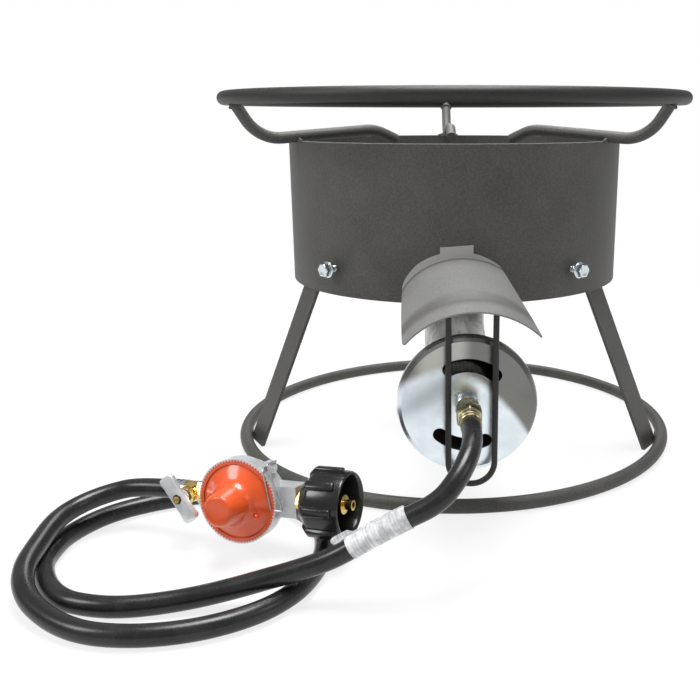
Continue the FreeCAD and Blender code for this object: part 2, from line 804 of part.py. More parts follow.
def burner_casting():
    outside = casting_solid("casting_outside", "0", "0")
    lug = cylinder("casting_lug", "lug_radius", "lug_reach",
                   STRAP_TURN.multiply(place(z="bolt_height", rotation=TO_FRONT)))
    hollow = casting_solid("casting_hollow", "cast_wall", "mouth_plate")
    shell = cut("casting_shell", fuse("casting_with_lug", outside, lug), hollow)
    hub_back = FRONT.multiply(place(z="mouth_reach - hub_length"))
    hub = cylinder("casting_hub", "hub_radius", "hub_length", hub_back)
    bore = cylinder("casting_bore", "fitting_neck + fit_gap", "hub_length + mouth_plate", hub_back)
    thread = cylinder("casting_thread", "burner_bolt_shank / 2 + fit_gap",
                      "burner_bolt_depth + bolt_clearance",
                      STRAP_TURN.multiply(place(y="burner_bolt_depth + bolt_clearance - lug_reach",
                                                z="bolt_height", rotation=TO_FRONT)))
    windows = []
    for half in (0, 1):
        turn = Rotation(Vector(0, 0, 1), 180 * half)
        behind = FRONT.multiply(place(z="mouth_reach - 1.5 * mouth_plate", rotation=turn))
        windows.append(arc_slot("mouth_slot_%d" % half, "slot_radius", "mouth_slot_width", "mouth_slot_angle",
                                "2 * mouth_plate", behind))
    drilled = cut("casting_drilled", fuse("casting_with_hub", shell, hub), bore, thread, *windows)
    return node(cut("burner_casting", drilled, ports()), "burner_casting")


burner_casting()


# Air shutter, its spring and the orifice fitting

SEAT = "mouth_reach + shutter_gap"
COLLAR = "mouth_reach + shutter_gap + shutter_sheet + shutter_spring_height + 2 * weld_gap"
HEX = COLLAR + " + fitting_collar_width"
THREAD = HEX + " + fitting_hex_width"
THREAD_END = THREAD + " + fitting_thread_length"
SWIVEL = THREAD + " + weld_gap"
SWIVEL_END = SWIVEL + " + swivel_length"
FERRULE = SWIVEL_END + " + weld_gap"
FERRULE_END = FERRULE + " + ferrule_length"


def coil(radius, rise, turns, wire):
    """Round wire wound about Z: arcs of an eighth of a turn, tangent to each other."""
    corners = 8
    reach = radius / math.cos(math.pi / corners)
    steps = int(turns * corners)
    points = []
    for step in range(steps + 1):
        angle = 2 * math.pi * step / corners
        points.append(Vector(reach * math.cos(angle), reach * math.sin(angle), rise * step / steps))
    wound = rounded_wire(points, lambda corner, runs, turn: NEAR_HALF * runs[0] / math.tan(turn / 2))
    return swept_rod(wound, wire)


def air_shutter():
    """Flat sheet cup with a rounded edge and two curved slots, free to turn on the fitting's neck."""
    face = SEAT + " + shutter_sheet"
    back = face + " - shutter_rim"
    part_round = "shutter_edge * (1 - cos(45))"
    inside = "shutter_radius - shutter_sheet"
    cup = turned("shutter_cup", [
        ("fitting_neck + running_gap", SEAT), ("shutter_radius - shutter_edge", SEAT),
        (inside, face + " - shutter_edge"), (inside, back), ("shutter_radius", back),
        ("shutter_radius", face + " - shutter_edge"),
        ("shutter_radius - " + part_round, face + " - " + part_round),
        ("shutter_radius - shutter_edge", face), ("fitting_neck + running_gap", face)], FRONT)
    slots = [arc_slot("shutter_slot_%d" % half, "slot_radius", "slot_width", "slot_angle", "shutter_rim",
                      FRONT.multiply(place(z="mouth_reach", rotation=Rotation(
                          Vector(0, 0, 1), size("shutter_turn") + 180 * half))))
             for half in (0, 1)]
    return node(cut("air_shutter", cup, *slots), "air_shutter")


def shutter_spring():
    """Coil that presses the shutter against the burner's mouth."""
    wire = size("shutter_spring_wire / 2")
    rise = size("shutter_spring_height - shutter_spring_wire")
    shape = coil(size("shutter_spring_radius"), rise, size("shutter_spring_turns"), wire)
    spring = shaped("shutter_spring", shape)
    foot = "%s + shutter_sheet + weld_gap + shutter_spring_wire / 2" % SEAT
    pitch = rise / size("shutter_spring_turns")
    print("shutter spring: least gap between turns %.2f mm" % (pitch - 2 * wire))
    return node(spring, "shutter_spring", FRONT.multiply(place(z=foot)))


def orifice_fitting():
    """Brass fitting: orifice nose, neck in the burner's hub, collar, hex and flare thread."""
    back = "mouth_reach - hub_length"
    nose = back + " - orifice_nose_length"
    spindle = turned("fitting_spindle", [
        ("orifice_hole", nose), ("orifice_nose", nose), ("orifice_nose", back), ("fitting_neck", back),
        ("fitting_neck", COLLAR), ("fitting_collar", COLLAR), ("fitting_collar", HEX),
        ("fitting_thread", HEX), ("fitting_thread", THREAD_END + " - fitting_bore"),
        ("fitting_thread - fitting_bore", THREAD_END), ("fitting_bore", THREAD_END), ("fitting_bore", back),
        ("orifice_hole", back + " - fitting_bore")], FRONT)
    flats = hexagon("fitting_flats", "fitting_hex", "fitting_hex_width", FRONT.multiply(place(z=HEX)))
    bore = cylinder("fitting_flats_bore", "fitting_thread - fitting_bore", "fitting_hex_width",
                    FRONT.multiply(place(z=HEX)))
    return node(fuse("orifice_fitting", spindle, cut("fitting_flats_ring", flats, bore)), "orifice_fitting")


def swivel_nut():
    """Flare nut that holds the hose's tail on the fitting."""
    outside = hexagon("swivel_flats", "swivel_hex", "swivel_length", FRONT.multiply(place(z=SWIVEL)))
    rounding = turned("swivel_rounding", [
        ("0", SWIVEL), ("swivel_hex / sqrt(3)", SWIVEL),
        ("swivel_hex / sqrt(3)", SWIVEL_END + " - swivel_lip / 2"),
        ("swivel_hex / 2 - swivel_lip / 4", SWIVEL_END), ("0", SWIVEL_END)], FRONT)
    bore = turned("swivel_bore", [
        ("0", SWIVEL), ("fitting_thread + fit_gap", SWIVEL),
        ("fitting_thread + fit_gap", SWIVEL_END + " - swivel_lip"),
        ("ferrule_neck + fit_gap", SWIVEL_END + " - swivel_lip"), ("ferrule_neck + fit_gap", SWIVEL_END),
        ("0", SWIVEL_END)], FRONT)
    return node(cut("swivel_nut", common("swivel_blank", outside, rounding), bore), "swivel_nut")


def ferrule_profile(start, end, length):
    """Crimped sleeve with two pressed grooves and a through bore."""
    outside = [("ferrule_radius", start)]
    for groove in (1, 2):
        middle = "%s + %d * %s / 3" % (start, groove, length)
        outside += [("ferrule_radius", middle + " - 2 * crimp_depth"),
                    ("ferrule_radius - crimp_depth", middle + " - crimp_depth"),
                    ("ferrule_radius - crimp_depth", middle + " + crimp_depth"),
                    ("ferrule_radius", middle + " + 2 * crimp_depth")]
    return outside + [("ferrule_radius", end), ("fitting_bore", end)]


def burner_ferrule():
    """Hose tail: flange inside the swivel nut, neck through it, then the crimped sleeve."""
    flange = THREAD_END + " + weld_gap"
    lip = SWIVEL_END + " - swivel_lip - weld_gap"
    tail = [("fitting_bore", flange), ("fitting_thread - fit_gap", flange), ("fitting_thread - fit_gap", lip),
            ("ferrule_neck", lip), ("ferrule_neck", FERRULE)]
    sleeve = ferrule_profile(FERRULE, FERRULE_END, "ferrule_length")
    return node(turned("burner_ferrule", tail + sleeve, FRONT), "burner_ferrule")


air_shutter()
shutter_spring()
orifice_fitting()
swivel_nut()
burner_ferrule()


# Hose and its sleeve

VALVE = "outlet_reach + weld_gap"
VALVE_END = VALVE + " + valve_length"
VALVE_FERRULE = VALVE_END + " + weld_gap"
VALVE_FERRULE_END = VALVE_FERRULE + " + valve_ferrule_length"


def hose():
    """Tube along the route, and the clear sleeve that lies round two of its bends."""
    radius = size("hose_diameter / 2")
    start = Vector(0, -size(FERRULE_END + " + weld_gap"), size("tube_height"))
    end = size(VALVE_FERRULE_END + " + weld_gap")
    last_run = size("hose_last_run")
    points = [start] + [Vector(*point) for point in HOSE_ROUTE]
    points += [GROUP.multVec(Vector(-end - last_run, 0, 0)), GROUP.multVec(Vector(-end, 0, 0))]
    radii = []

    def widest(corner, runs, turn):
        radii.append(HOSE_SHARE * min(runs) / math.tan(turn / 2))
        return radii[-1]

    route = rounded_wire(points, widest)
    tube = swept_rod(route, radius)
    print("hose radii:", " ".join("%.0f" % value for value in radii))
    print("hose length %.0f mm, volume over section times length %.4f"
          % (route.Length, tube.Volume / (math.pi * radius ** 2 * route.Length)))
    node(shaped("hose", tube), "hose")
    first, last = (2 * round(corner) - 1 for corner in SLEEVE_CORNERS)
    stretch = Part.Wire(route.OrderedEdges[first:last + 1])
    inner = radius + size("sleeve_gap")
    sleeve = swept_rod(stretch, inner + size("sleeve_wall")).cut(swept_rod(stretch, inner))
    return node(shaped("hose_sleeve", sleeve), "hose_sleeve")


hose()


# Regulator: local X runs to the inlet, Y is up and Z points out of the cover

CRIMP_TOP = "flange_front + crimp_height"
COVER_BASE = "flange_front + diaphragm_thickness + 2 * running_gap"
CONE_FOOT = COVER_BASE + " + cover_wall"
CONE_TOP = CONE_FOOT + " + cover_cone_rise"
DOME_TOP = CONE_TOP + " + dome_height"
PLATE = COVER_BASE + " + fit_gap"
PLATE_TOP = PLATE + " + plate_thickness"
ADJUSTER = DOME_TOP + " - cover_wall - dome_round - adjuster_height - adjuster_gap"
PAD_TOP = "-jet_nozzle - pad_gap"
PAD = PAD_TOP + " - pad_thickness"


def ear_point(height):
    turn = math.radians(size("ear_angle"))
    reach = size("ear_hole_reach")
    return Vector(reach * math.cos(turn), reach * math.sin(turn), height)


def regulator_body():
    """Die-cast bowl with a crimped rim, an inlet block, an outlet boss and an ear."""
    inside = "bowl_radius - bowl_wall"
    rim = "cover_rim + fit_gap"
    bowl = turned("regulator_bowl", [
        ("0", "bowl_back"), ("bowl_radius - bowl_taper", "bowl_back"),
        ("bowl_radius", "bowl_back + bowl_taper"), ("bowl_radius", "flange_back"),
        ("flange_radius", "flange_back"), ("flange_radius", CRIMP_TOP), ("crimp_inner", CRIMP_TOP),
        ("crimp_inner", CRIMP_TOP + " - crimp_lip"), (rim, CRIMP_TOP + " - crimp_lip"), (rim, "flange_front"),
        (inside, "flange_front"), (inside, "bowl_floor"), ("0", "bowl_floor")], GROUP)
    block = box("inlet_block", "inlet_reach - (%s) - bowl_wall / 8" % inside, "inlet_block_height",
                "inlet_block_depth", in_group(inside + " + bowl_wall / 8", "-inlet_block_height / 2",
                                              "inlet_block_back"))
    boss = cylinder("outlet_boss", "outlet_radius", "outlet_reach - (%s) - bowl_wall / 8" % inside,
                    in_group("-(%s) - bowl_wall / 8" % inside, rotation=ALONG_MINUS_X))
    ear = cylinder("flange_ear", "ear_radius", "flange_front - flange_back",
                   GROUP.multiply(Placement(ear_point(size("flange_back")), Rotation())))
    solid = fuse("regulator_solid", bowl, block, boss, ear)
    holes = [
        cylinder("ear_bore", "ear_hole", "flange_front", GROUP.multiply(Placement(ear_point(0), Rotation()))),
        cylinder("jet_bore", "jet_radius + fit_gap", "inlet_reach", in_group(inside + " - bowl_wall / 2",
                                                                           rotation=ALONG_X)),
        cylinder("inlet_thread_bore", "inlet_thread + fit_gap", "2 * inlet_thread_length",
                 in_group("inlet_reach - inlet_thread_length", rotation=ALONG_X)),
        cylinder("outlet_bore_hole", "outlet_bore", "outlet_reach", in_group("-(%s) + bowl_wall / 2" % inside,
                                                                           rotation=ALONG_MINUS_X)),
        cylinder("outlet_thread_bore", "outlet_thread + fit_gap", "2 * outlet_thread_length",
                 in_group("outlet_thread_length - outlet_reach", rotation=ALONG_MINUS_X))]
    return node(cut("regulator_body", solid, *holes), "regulator_body")


def regulator_cover():
    """Spun cover: flat rim under the crimp, shallow cone and the spring's dome, with a vent."""
    inner_dome = "dome_tip - cover_wall"
    shell = turned("cover_shell", [
        ("cover_cone_foot - cover_wall / 3", COVER_BASE), ("cover_rim", COVER_BASE), ("cover_rim", CONE_FOOT),
        ("cover_cone_foot", CONE_FOOT), ("dome_foot", CONE_TOP), ("dome_tip", DOME_TOP + " - dome_round"),
        ("dome_tip - dome_round", DOME_TOP), ("0", DOME_TOP), ("0", DOME_TOP + " - cover_wall"),
        (inner_dome + " - dome_round", DOME_TOP + " - cover_wall"),
        (inner_dome, DOME_TOP + " - cover_wall - dome_round"),
        ("dome_foot - cover_wall", CONE_TOP + " - cover_wall / 2")], GROUP)
    turn = math.radians(size("vent_angle"))
    slope = size("cover_cone_rise / (cover_cone_foot - dome_foot)")
    surface = size(CONE_FOOT) + slope * (size("cover_cone_foot") - size("vent_reach"))
    foot = Vector(size("vent_reach") * math.cos(turn), size("vent_reach") * math.sin(turn),
                  surface - size("cover_wall / 2"))
    vent = cylinder("cover_vent", "vent_radius", "vent_height + cover_wall / 2",
                    GROUP.multiply(Placement(foot, Rotation())))
    return node(fuse("regulator_cover", shell, vent), "regulator_cover")


def diaphragm():
    """Rubber disc: clamped at its rim, sunk in the middle to leave the plate its travel."""
    clamp = "flange_front + running_gap"
    low = clamp + " - diaphragm_sink"
    hole = "stem_radius + bolt_clearance"
    middle = "plate_radius + diaphragm_thickness"
    edge = "bowl_radius - bowl_wall - diaphragm_thickness"
    disc = turned("diaphragm", [
        (hole, low), (middle + " + fit_gap", low), (edge, clamp), ("cover_rim - fit_gap", clamp),
        ("cover_rim - fit_gap", clamp + " + diaphragm_thickness"), (edge, clamp + " + diaphragm_thickness"),
        (middle, low + " + diaphragm_thickness"), (hole, low + " + diaphragm_thickness")], GROUP)
    return node(disc, "diaphragm")


def diaphragm_plate():
    """Plate under the spring; its stem ends in a yoke that reaches round the jet."""
    disc = turned("plate_blank", [
        ("0", "yoke_top - pad_gap"), ("stem_radius", "yoke_top - pad_gap"), ("stem_radius", PLATE),
        ("plate_radius", PLATE), ("plate_radius", PLATE_TOP), ("0", PLATE_TOP)], GROUP)
    yoke = box("plate_yoke", "yoke_depth", "yoke_width", "yoke_top - yoke_foot",
               in_group("-yoke_depth / 2", "-yoke_width / 2", "yoke_foot"))
    window = box("plate_window", "2 * yoke_depth", "2 * jet_nozzle + 2 * yoke_play",
                 "jet_nozzle + plate_travel + yoke_play - (%s)" % PAD,
                 in_group("-yoke_depth", "-jet_nozzle - yoke_play", PAD))
    return node(cut("diaphragm_plate", fuse("plate_solid", disc, yoke), window), "diaphragm_plate")


def regulator_spring():
    """Coil between the plate and the adjuster."""
    wire = size("spring_wire / 2")
    foot = size(PLATE_TOP + " + weld_gap") + wire
    top = size(ADJUSTER + " - weld_gap") - wire
    shape = coil(size("spring_coil"), top - foot, size("spring_turns"), wire)
    pitch = (top - foot) / size("spring_turns")
    print("regulator spring: least gap between turns %.2f mm" % (pitch - 2 * wire))
    return node(shaped("regulator_spring", shape), "regulator_spring",
                GROUP.multiply(Placement(Vector(0, 0, foot), Rotation())))


def adjuster():
    """Threaded disc inside the dome that sets the spring, with a hex socket."""
    radius = "dome_tip - cover_wall - running_gap"
    disc = cylinder("adjuster_disc", radius, "adjuster_height", in_group(z=ADJUSTER))
    socket = hexagon("adjuster_socket_hex", "adjuster_socket", "adjuster_height", in_group(z=ADJUSTER))
    return node(cut("adjuster", disc, socket), "adjuster")


def seat_pad():
    """Rubber pad on the yoke's lower bar, which shuts the jet's mouth."""
    return node(cylinder("seat_pad", "pad_radius", "pad_thickness", in_group(z=PAD)), "seat_pad")


def inlet_jet():
    """Brass jet from the inlet to the middle, with its mouth on the underside."""
    tube = turned("jet_tube", [
        ("0", "-jet_tip"), ("jet_nozzle", "-jet_tip"), ("jet_nozzle", "jet_end - jet_radius - jet_tip"),
        ("jet_radius", "jet_end - jet_radius - jet_tip / 2"), ("jet_radius", "jet_end"), ("0", "jet_end")],
        in_group(rotation=ALONG_X))
    passage = cylinder("jet_passage", "jet_hole", "jet_end + jet_orifice",
                       in_group("-jet_orifice", rotation=ALONG_X))
    mouth = cylinder("jet_mouth", "jet_orifice", "2 * jet_nozzle", in_group(z="-2 * jet_nozzle"))
    return node(cut("inlet_jet", tube, passage, mouth), "inlet_jet")


def wire_loop():
    """Hairpin of wire through the flange's ear: round its edge, then both strands hang in front."""
    wire = size("loop_wire / 2")
    front = size(CRIMP_TOP) + wire + size("bolt_clearance")
    behind = size("flange_back") - wire - size("bolt_clearance")
    hole = ear_point(0)
    out = Vector(hole)
    out.normalize()
    past = hole + out * (size("ear_radius") + wire + size("bolt_clearance"))
    drop = Vector(size("loop_lean"), -size("loop_length"), 0)
    apart = Vector(size("loop_spread"), 0, 0)
    level = Vector(0, 0, 1)
    path = [hole + drop + level * front, hole + level * front, hole + level * behind, past + level * behind,
            past + level * front, hole + drop + apart + level * front,
            hole + drop + apart / 3 + level * front]
    bent = rounded_wire(path, lambda corner, runs, turn: size("loop_wire"))
    return node(shaped("wire_loop", swept_rod(bent, wire)), "wire_loop", GROUP)


for build_piece in (regulator_body, regulator_cover, diaphragm, diaphragm_plate, regulator_spring, adjuster,
                    seat_pad, inlet_jet, wire_loop):
    build_piece()


# Inlet connector: nipple and handwheel

NIPPLE_HEX = "inlet_reach + weld_gap"
SHANK = NIPPLE_HEX + " + nipple_hex_width"
SHOULDER = SHANK + " + nipple_shank_length"
NIPPLE_BODY = SHOULDER + " + nipple_shoulder_width"
NOSE = NIPPLE_BODY + " + nipple_body_length"
WHEEL_BACK = SHANK + " + wheel_gap"
WHEEL_FRONT = WHEEL_BACK + " + wheel_length"


def inlet_nipple():
    """Brass nipple: thread, hex, shank that carries the handwheel, shoulder, body and nose."""
    axis = in_group(rotation=ALONG_X)
    spindle = turned("nipple_spindle", [
        ("fitting_bore", "inlet_reach - inlet_thread_length"),
        ("inlet_thread", "inlet_reach - inlet_thread_length"),
        ("inlet_thread", NIPPLE_HEX), ("nipple_shank", NIPPLE_HEX), ("nipple_shank", SHOULDER),
        ("nipple_shoulder", SHOULDER), ("nipple_shoulder", NIPPLE_BODY), ("nipple_body", NIPPLE_BODY),
        ("nipple_body", NOSE), ("nose_radius", NOSE), ("nose_radius", NOSE + " + nose_length"),
        ("fitting_bore", NOSE + " + nose_length")], axis)
    flats = hexagon("nipple_flats", "nipple_hex", "nipple_hex_width", axis.multiply(place(z=NIPPLE_HEX)))
    bore = cylinder("nipple_flats_bore", "fitting_bore + running_gap", "nipple_hex_width",
                    axis.multiply(place(z=NIPPLE_HEX)))
    return node(fuse("inlet_nipple", spindle, cut("nipple_flats_ring", flats, bore)), "inlet_nipple")


def handwheel():
    """Moulded wheel with broad ribs; its web turns on the shank behind the shoulder."""
    axis = in_group(rotation=ALONG_X)
    drum = turned("wheel_drum", [
        ("0", WHEEL_BACK), ("wheel_rear_radius", WHEEL_BACK), ("wheel_radius", WHEEL_BACK + " + wheel_taper"),
        ("wheel_radius", WHEEL_FRONT + " - wheel_edge"), ("wheel_radius - wheel_edge", WHEEL_FRONT),
        ("0", WHEEL_FRONT)], axis)
    bars = []
    for index in range(int(size("wheel_rib_count / 2"))):
        turn = place(rotation=Rotation(Vector(0, 0, 1), index * 360 / size("wheel_rib_count")))
        foot = axis.multiply(turn).multiply(place("-wheel_rib_radius", "-wheel_rib_width / 2", WHEEL_BACK))
        bars.append(box("wheel_bar_%d" % index, "2 * wheel_rib_radius", "wheel_rib_width", "wheel_length",
                        foot))
    envelope = turned("wheel_envelope", [
        ("0", WHEEL_BACK), ("wheel_rear_radius", WHEEL_BACK),
        ("wheel_rib_radius", WHEEL_BACK + " + 1.5 * wheel_taper"),
        ("wheel_rib_radius", WHEEL_FRONT + " - wheel_rib_inset"),
        ("wheel_radius - wheel_edge", WHEEL_FRONT + " - wheel_rib_inset + wheel_edge"),
        ("0", WHEEL_FRONT + " - wheel_rib_inset + wheel_edge")], axis)
    ribs = common("wheel_ribs", fuse("wheel_bars", *bars), envelope)
    seat = SHOULDER + " - weld_gap"
    hollow = turned("wheel_hollow", [
        ("0", WHEEL_BACK), ("nipple_shank + running_gap", WHEEL_BACK), ("nipple_shank + running_gap", seat),
        ("wheel_socket", seat), ("wheel_socket", WHEEL_FRONT + " - 2 * wheel_edge"),
        ("wheel_socket + wheel_edge", WHEEL_FRONT), ("0", WHEEL_FRONT)], axis)
    return node(cut("handwheel", fuse("wheel_solid", drum, ribs), hollow), "handwheel")


inlet_nipple()
handwheel()


# Needle valve between the regulator's outlet and the hose

PACKING = "bonnet_reach + weld_gap"
HANDLE = PACKING + " + packing_height + handle_clearance"
BAR = HANDLE + " + handle_hub_height"
BAR_TOP = BAR + " + handle_thickness"
STEM_TOP = BAR_TOP + " - handle_thickness / 4"


def on_stem(z="0", rotation=None):
    """Frame of the valve's stem, which points the same way as the cover."""
    return in_group("-(%s) - valve_stem_place" % VALVE, z=z, rotation=rotation)


def valve_body():
    """Brass body: thread, hex, barrel and a bonnet for the stem."""
    axis = in_group(rotation=ALONG_MINUS_X)
    thread = "outlet_reach - outlet_thread_length"
    barrel = turned("valve_barrel", [
        ("0", thread), ("outlet_thread", thread), ("outlet_thread", VALVE), ("valve_radius", VALVE),
        ("valve_radius", VALVE_END), ("0", VALVE_END)], axis)
    flats = hexagon("valve_flats", "valve_hex", "valve_hex_width", axis.multiply(place(z=VALVE)))
    bonnet = cylinder("valve_bonnet", "bonnet_radius", "bonnet_reach", on_stem())
    bore = cylinder("valve_stem_bore", "valve_stem_radius + running_gap", "2 * bonnet_reach", on_stem())
    passage = cylinder("valve_passage", "fitting_bore", "2 * valve_length + 2 * outlet_thread_length",
                       axis.multiply(place(z=thread + " - outlet_thread_length")))
    return node(cut("valve_body", fuse("valve_blank", barrel, flats, bonnet), bore, passage), "valve_body")


def packing_nut():
    flats = hexagon("packing_flats", "packing_hex", "packing_height", on_stem(PACKING))
    bore = cylinder("packing_bore", "valve_stem_radius + running_gap", "packing_height", on_stem(PACKING))
    return node(cut("packing_nut", flats, bore), "packing_nut")


def valve_stem():
    """Needle with a conical tip and a tapped end."""
    spindle = turned("stem_spindle", [
        ("0", "fitting_bore / 2"), ("valve_stem_radius / 3", "fitting_bore / 2"),
        ("valve_stem_radius", "fitting_bore / 2 + needle_taper"), ("valve_stem_radius", STEM_TOP),
        ("0", STEM_TOP)], on_stem())
    tapped = cylinder("stem_tapped", "screw_shank + running_gap", "screw_length",
                      on_stem("%s - screw_length" % BAR_TOP))
    return node(cut("valve_stem", spindle, tapped), "valve_stem")


def t_handle():
    """Flat bar with round ends on a short hub."""
    turn = Rotation(Vector(0, 0, 1), size("handle_turn"))
    hub = cylinder("handle_hub_bar", "handle_hub", "handle_hub_height", on_stem(HANDLE))
    bar = box("handle_bar", "handle_length - handle_width", "handle_width", "handle_thickness",
              on_stem(BAR, turn).multiply(place("(handle_width - handle_length) / 2", "-handle_width / 2")))
    ends = [cylinder("handle_end_%d" % index, "handle_width / 2", "handle_thickness",
                     on_stem(BAR, turn).multiply(place("%s * (handle_length - handle_width) / 2" % side)))
            for index, side in enumerate(("-1", "1"))]
    bore = turned("handle_bore", [
        ("0", HANDLE), ("valve_stem_radius + running_gap", HANDLE),
        ("valve_stem_radius + running_gap", STEM_TOP + " + fit_gap"),
        ("screw_shank + fit_gap", STEM_TOP + " + fit_gap"), ("screw_shank + fit_gap", BAR_TOP),
        ("0", BAR_TOP)], on_stem())
    return node(cut("t_handle", fuse("handle_blank", hub, bar, *ends), bore), "t_handle")


def handle_screw():
    head = cylinder("screw_head_disc", "screw_head", "screw_head_height", on_stem(BAR_TOP + " + running_gap"))
    shank = cylinder("screw_shank_bar", "screw_shank", "screw_length",
                     on_stem("%s + fit_gap - screw_length" % BAR_TOP))
    return node(fuse("handle_screw", head, shank), "handle_screw")


def valve_ferrule():
    """Crimped sleeve that ends the hose at the valve."""
    outside = ferrule_profile(VALVE_FERRULE, VALVE_FERRULE_END, "valve_ferrule_length")
    return node(turned("valve_ferrule", [("fitting_bore", VALVE_FERRULE)] + outside,
                       in_group(rotation=ALONG_MINUS_X)), "valve_ferrule")


for build_piece in (valve_body, packing_nut, valve_stem, t_handle, handle_screw, valve_ferrule):
    build_piece()


# Check and export

doc.recompute()
faults = [thing.Name for thing in doc.Objects if "Invalid" in thing.State or "Error" in thing.State]
faults += [thing.Label for thing in nodes if thing.Shape.isNull() or not thing.Shape.isValid()]
if faults:
    raise RuntimeError("not built: " + ", ".join(faults))
os.makedirs("parts", exist_ok=True)
for thing in nodes:
    thing.Shape.exportStep("parts/%s.step" % thing.Label)
print("%d sub-parts" % len(nodes))
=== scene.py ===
"""Gas burner stand on a white floor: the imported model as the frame, with its finishes and fine pieces.

Metres, +Z up, in the frame's own coordinates.  The air shutter faces -Y.
"""

import math
from contextlib import contextmanager

import bmesh
import bpy
from mathutils import Matrix, Vector


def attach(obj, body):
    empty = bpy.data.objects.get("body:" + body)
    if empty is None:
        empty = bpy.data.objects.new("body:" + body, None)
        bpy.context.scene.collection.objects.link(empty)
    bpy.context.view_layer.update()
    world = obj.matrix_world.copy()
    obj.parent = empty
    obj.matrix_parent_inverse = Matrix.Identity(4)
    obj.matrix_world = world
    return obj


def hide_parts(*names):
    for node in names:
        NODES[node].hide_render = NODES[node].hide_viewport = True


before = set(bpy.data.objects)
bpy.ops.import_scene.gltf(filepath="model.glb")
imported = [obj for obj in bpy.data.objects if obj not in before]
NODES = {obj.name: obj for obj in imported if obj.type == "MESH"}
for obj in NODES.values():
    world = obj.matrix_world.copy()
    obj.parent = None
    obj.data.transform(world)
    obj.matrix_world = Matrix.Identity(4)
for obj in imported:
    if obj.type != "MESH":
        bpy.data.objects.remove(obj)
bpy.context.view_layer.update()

bl_info = {
    "name": "Gas burner stand",
    "version": (1, 0, 0),
    "blender": (4, 5, 0),
    "location": "View3D > Sidebar > Burner",
    "description": "Dresses the burner stand's frame with its finishes, hose and fine pieces",
    "category": "Object",
}

MM = 0.001

# Route of the hose's centre line in metres, from the burner's ferrule to the valve's ferrule.
HOSE_ROUTE = (
    (0, -0.29185, 0.1035), (0, -0.313, 0.1035), (-0.0035, -0.333, 0.0985), (-0.0125, -0.3495, 0.0875),
    (-0.026, -0.359, 0.074), (-0.051, -0.3595, 0.062), (-0.0755, -0.361, 0.0495),
    (-0.097, -0.3605, 0.0355), (-0.121, -0.3605, 0.027), (-0.146, -0.361, 0.02), (-0.172, -0.363, 0.0135),
    (-0.1975, -0.3655, 0.009), (-0.2215, -0.3695, 0.0076), (-0.2435, -0.372, 0.0076),
    (-0.2645, -0.3685, 0.0076), (-0.283, -0.361, 0.0076), (-0.301, -0.342, 0.0076),
    (-0.315, -0.315, 0.0076), (-0.318, -0.295, 0.0076), (-0.3165, -0.266, 0.0076),
    (-0.303, -0.2375, 0.0076), (-0.286, -0.219, 0.0076), (-0.264, -0.206, 0.0076), (-0.245, -0.198, 0.0076),
    (-0.2225, -0.1915, 0.0076), (-0.1945, -0.1925, 0.0076), (-0.1655, -0.203, 0.0076),
    (-0.139, -0.2245, 0.0076), (-0.12, -0.252, 0.0076), (-0.1115, -0.2835, 0.0076),
    (-0.112, -0.315, 0.0076), (-0.1185, -0.3405, 0.0076), (-0.127, -0.359, 0.0076),
    (-0.141, -0.377, 0.0076), (-0.1605, -0.391, 0.0076), (-0.1835, -0.401, 0.0076), (-0.21, -0.406, 0.0076),
    (-0.2345, -0.4055, 0.0076), (-0.255, -0.401, 0.0076), (-0.2745, -0.391, 0.008), (-0.292, -0.378, 0.01),
    (-0.3045, -0.3655, 0.013), (-0.3135, -0.3505, 0.0165), (-0.318, -0.334, 0.02),
    (-0.3185, -0.315, 0.0225), (-0.3195, -0.2755, 0.0255), (-0.3085, -0.253, 0.0285),
    (-0.2885, -0.2385, 0.032), (-0.2651, -0.23479, 0.03579), (-0.23415, -0.24611, 0.03752),
)
# Ends of the film sleeve as places along X, where the hose is still above a height.
SLEEVE_SPAN = (-0.0875, -0.0445)
SLEEVE_ABOVE = 0.03

# The regulator group lies turned: X runs to the inlet, Y is up and Z points out of the cover.
GROUP = (Matrix.Translation((-0.17183, -0.26892, 0.041))
         @ Matrix.Rotation(math.radians(-20.1), 4, "Z")
         @ Matrix.Rotation(math.radians(-3), 4, "Y")
         @ Matrix.Rotation(math.radians(82.5), 4, "X"))
# The valve's place along the group's X in millimetres, and the turn of its handle in degrees.
VALVE_PLACE = -47.15
HANDLE_TURN = -54

# The mixing tube's axis, on which the shutter turns: local Z points to the front.
TUBE_HEIGHT = 0.1035
FRONT = Matrix.Translation((0, 0, TUBE_HEIGHT)) @ Matrix.Rotation(math.radians(90), 4, "X")
# The tube's outside widens from its throat to its mouth, in metres.
THROAT_RADIUS = 0.025
THROAT_FRONT = 0.184
BELL_SLOPE = 0.468

# The heat shield in millimetres and degrees; each pair holds the values at the guard and at the lip.
HOOD_WALL = 165.05
HOOD_START = 163.4
HOOD_TOP = 210.3
HOOD_REACH = 95
HOOD_SHEET = 1.4
HOOD_RADII = (59.1, 74.0)
HOOD_HALF_ANGLES = (48.5, 46.5)
HOOD_LEANS = (13, 3.5)
HOOD_DRIFT = 0.06
HOOD_SLOPE = 0.2419
# The fold is a soft step, past which the sheet falls more steeply.
FOLD_START = 66
FOLD_END = 76
FOLD_DROP = 3.07
LIP_SLOPE = 0.0448
# The lip's left corner is rounded by a share of the half angle.
CORNER_START = 89
CORNER_SHARE = 0.055
# Distances out from the guard of the shield's rows of points, close together at its bends.
HOOD_ROWS = (4, 10, 22, 36, 50, 60, 65, 67, 69, 71, 73, 75, 77, 83, 89, 91, 93, 94.4, 95)
# The flange on the guard is full between two shares of the half angle, and the tab stands above it.
FLANGE_WIDTH = 5.5
FLANGE_LEFT = 0.45
FLANGE_RIGHT = 0.1
TAB_LEFT = -19.2
TAB_WIDTH = 28.4
TAB_FOOT = 207.5
TAB_TOP = 219.6
TAB_SLANT = 0.07

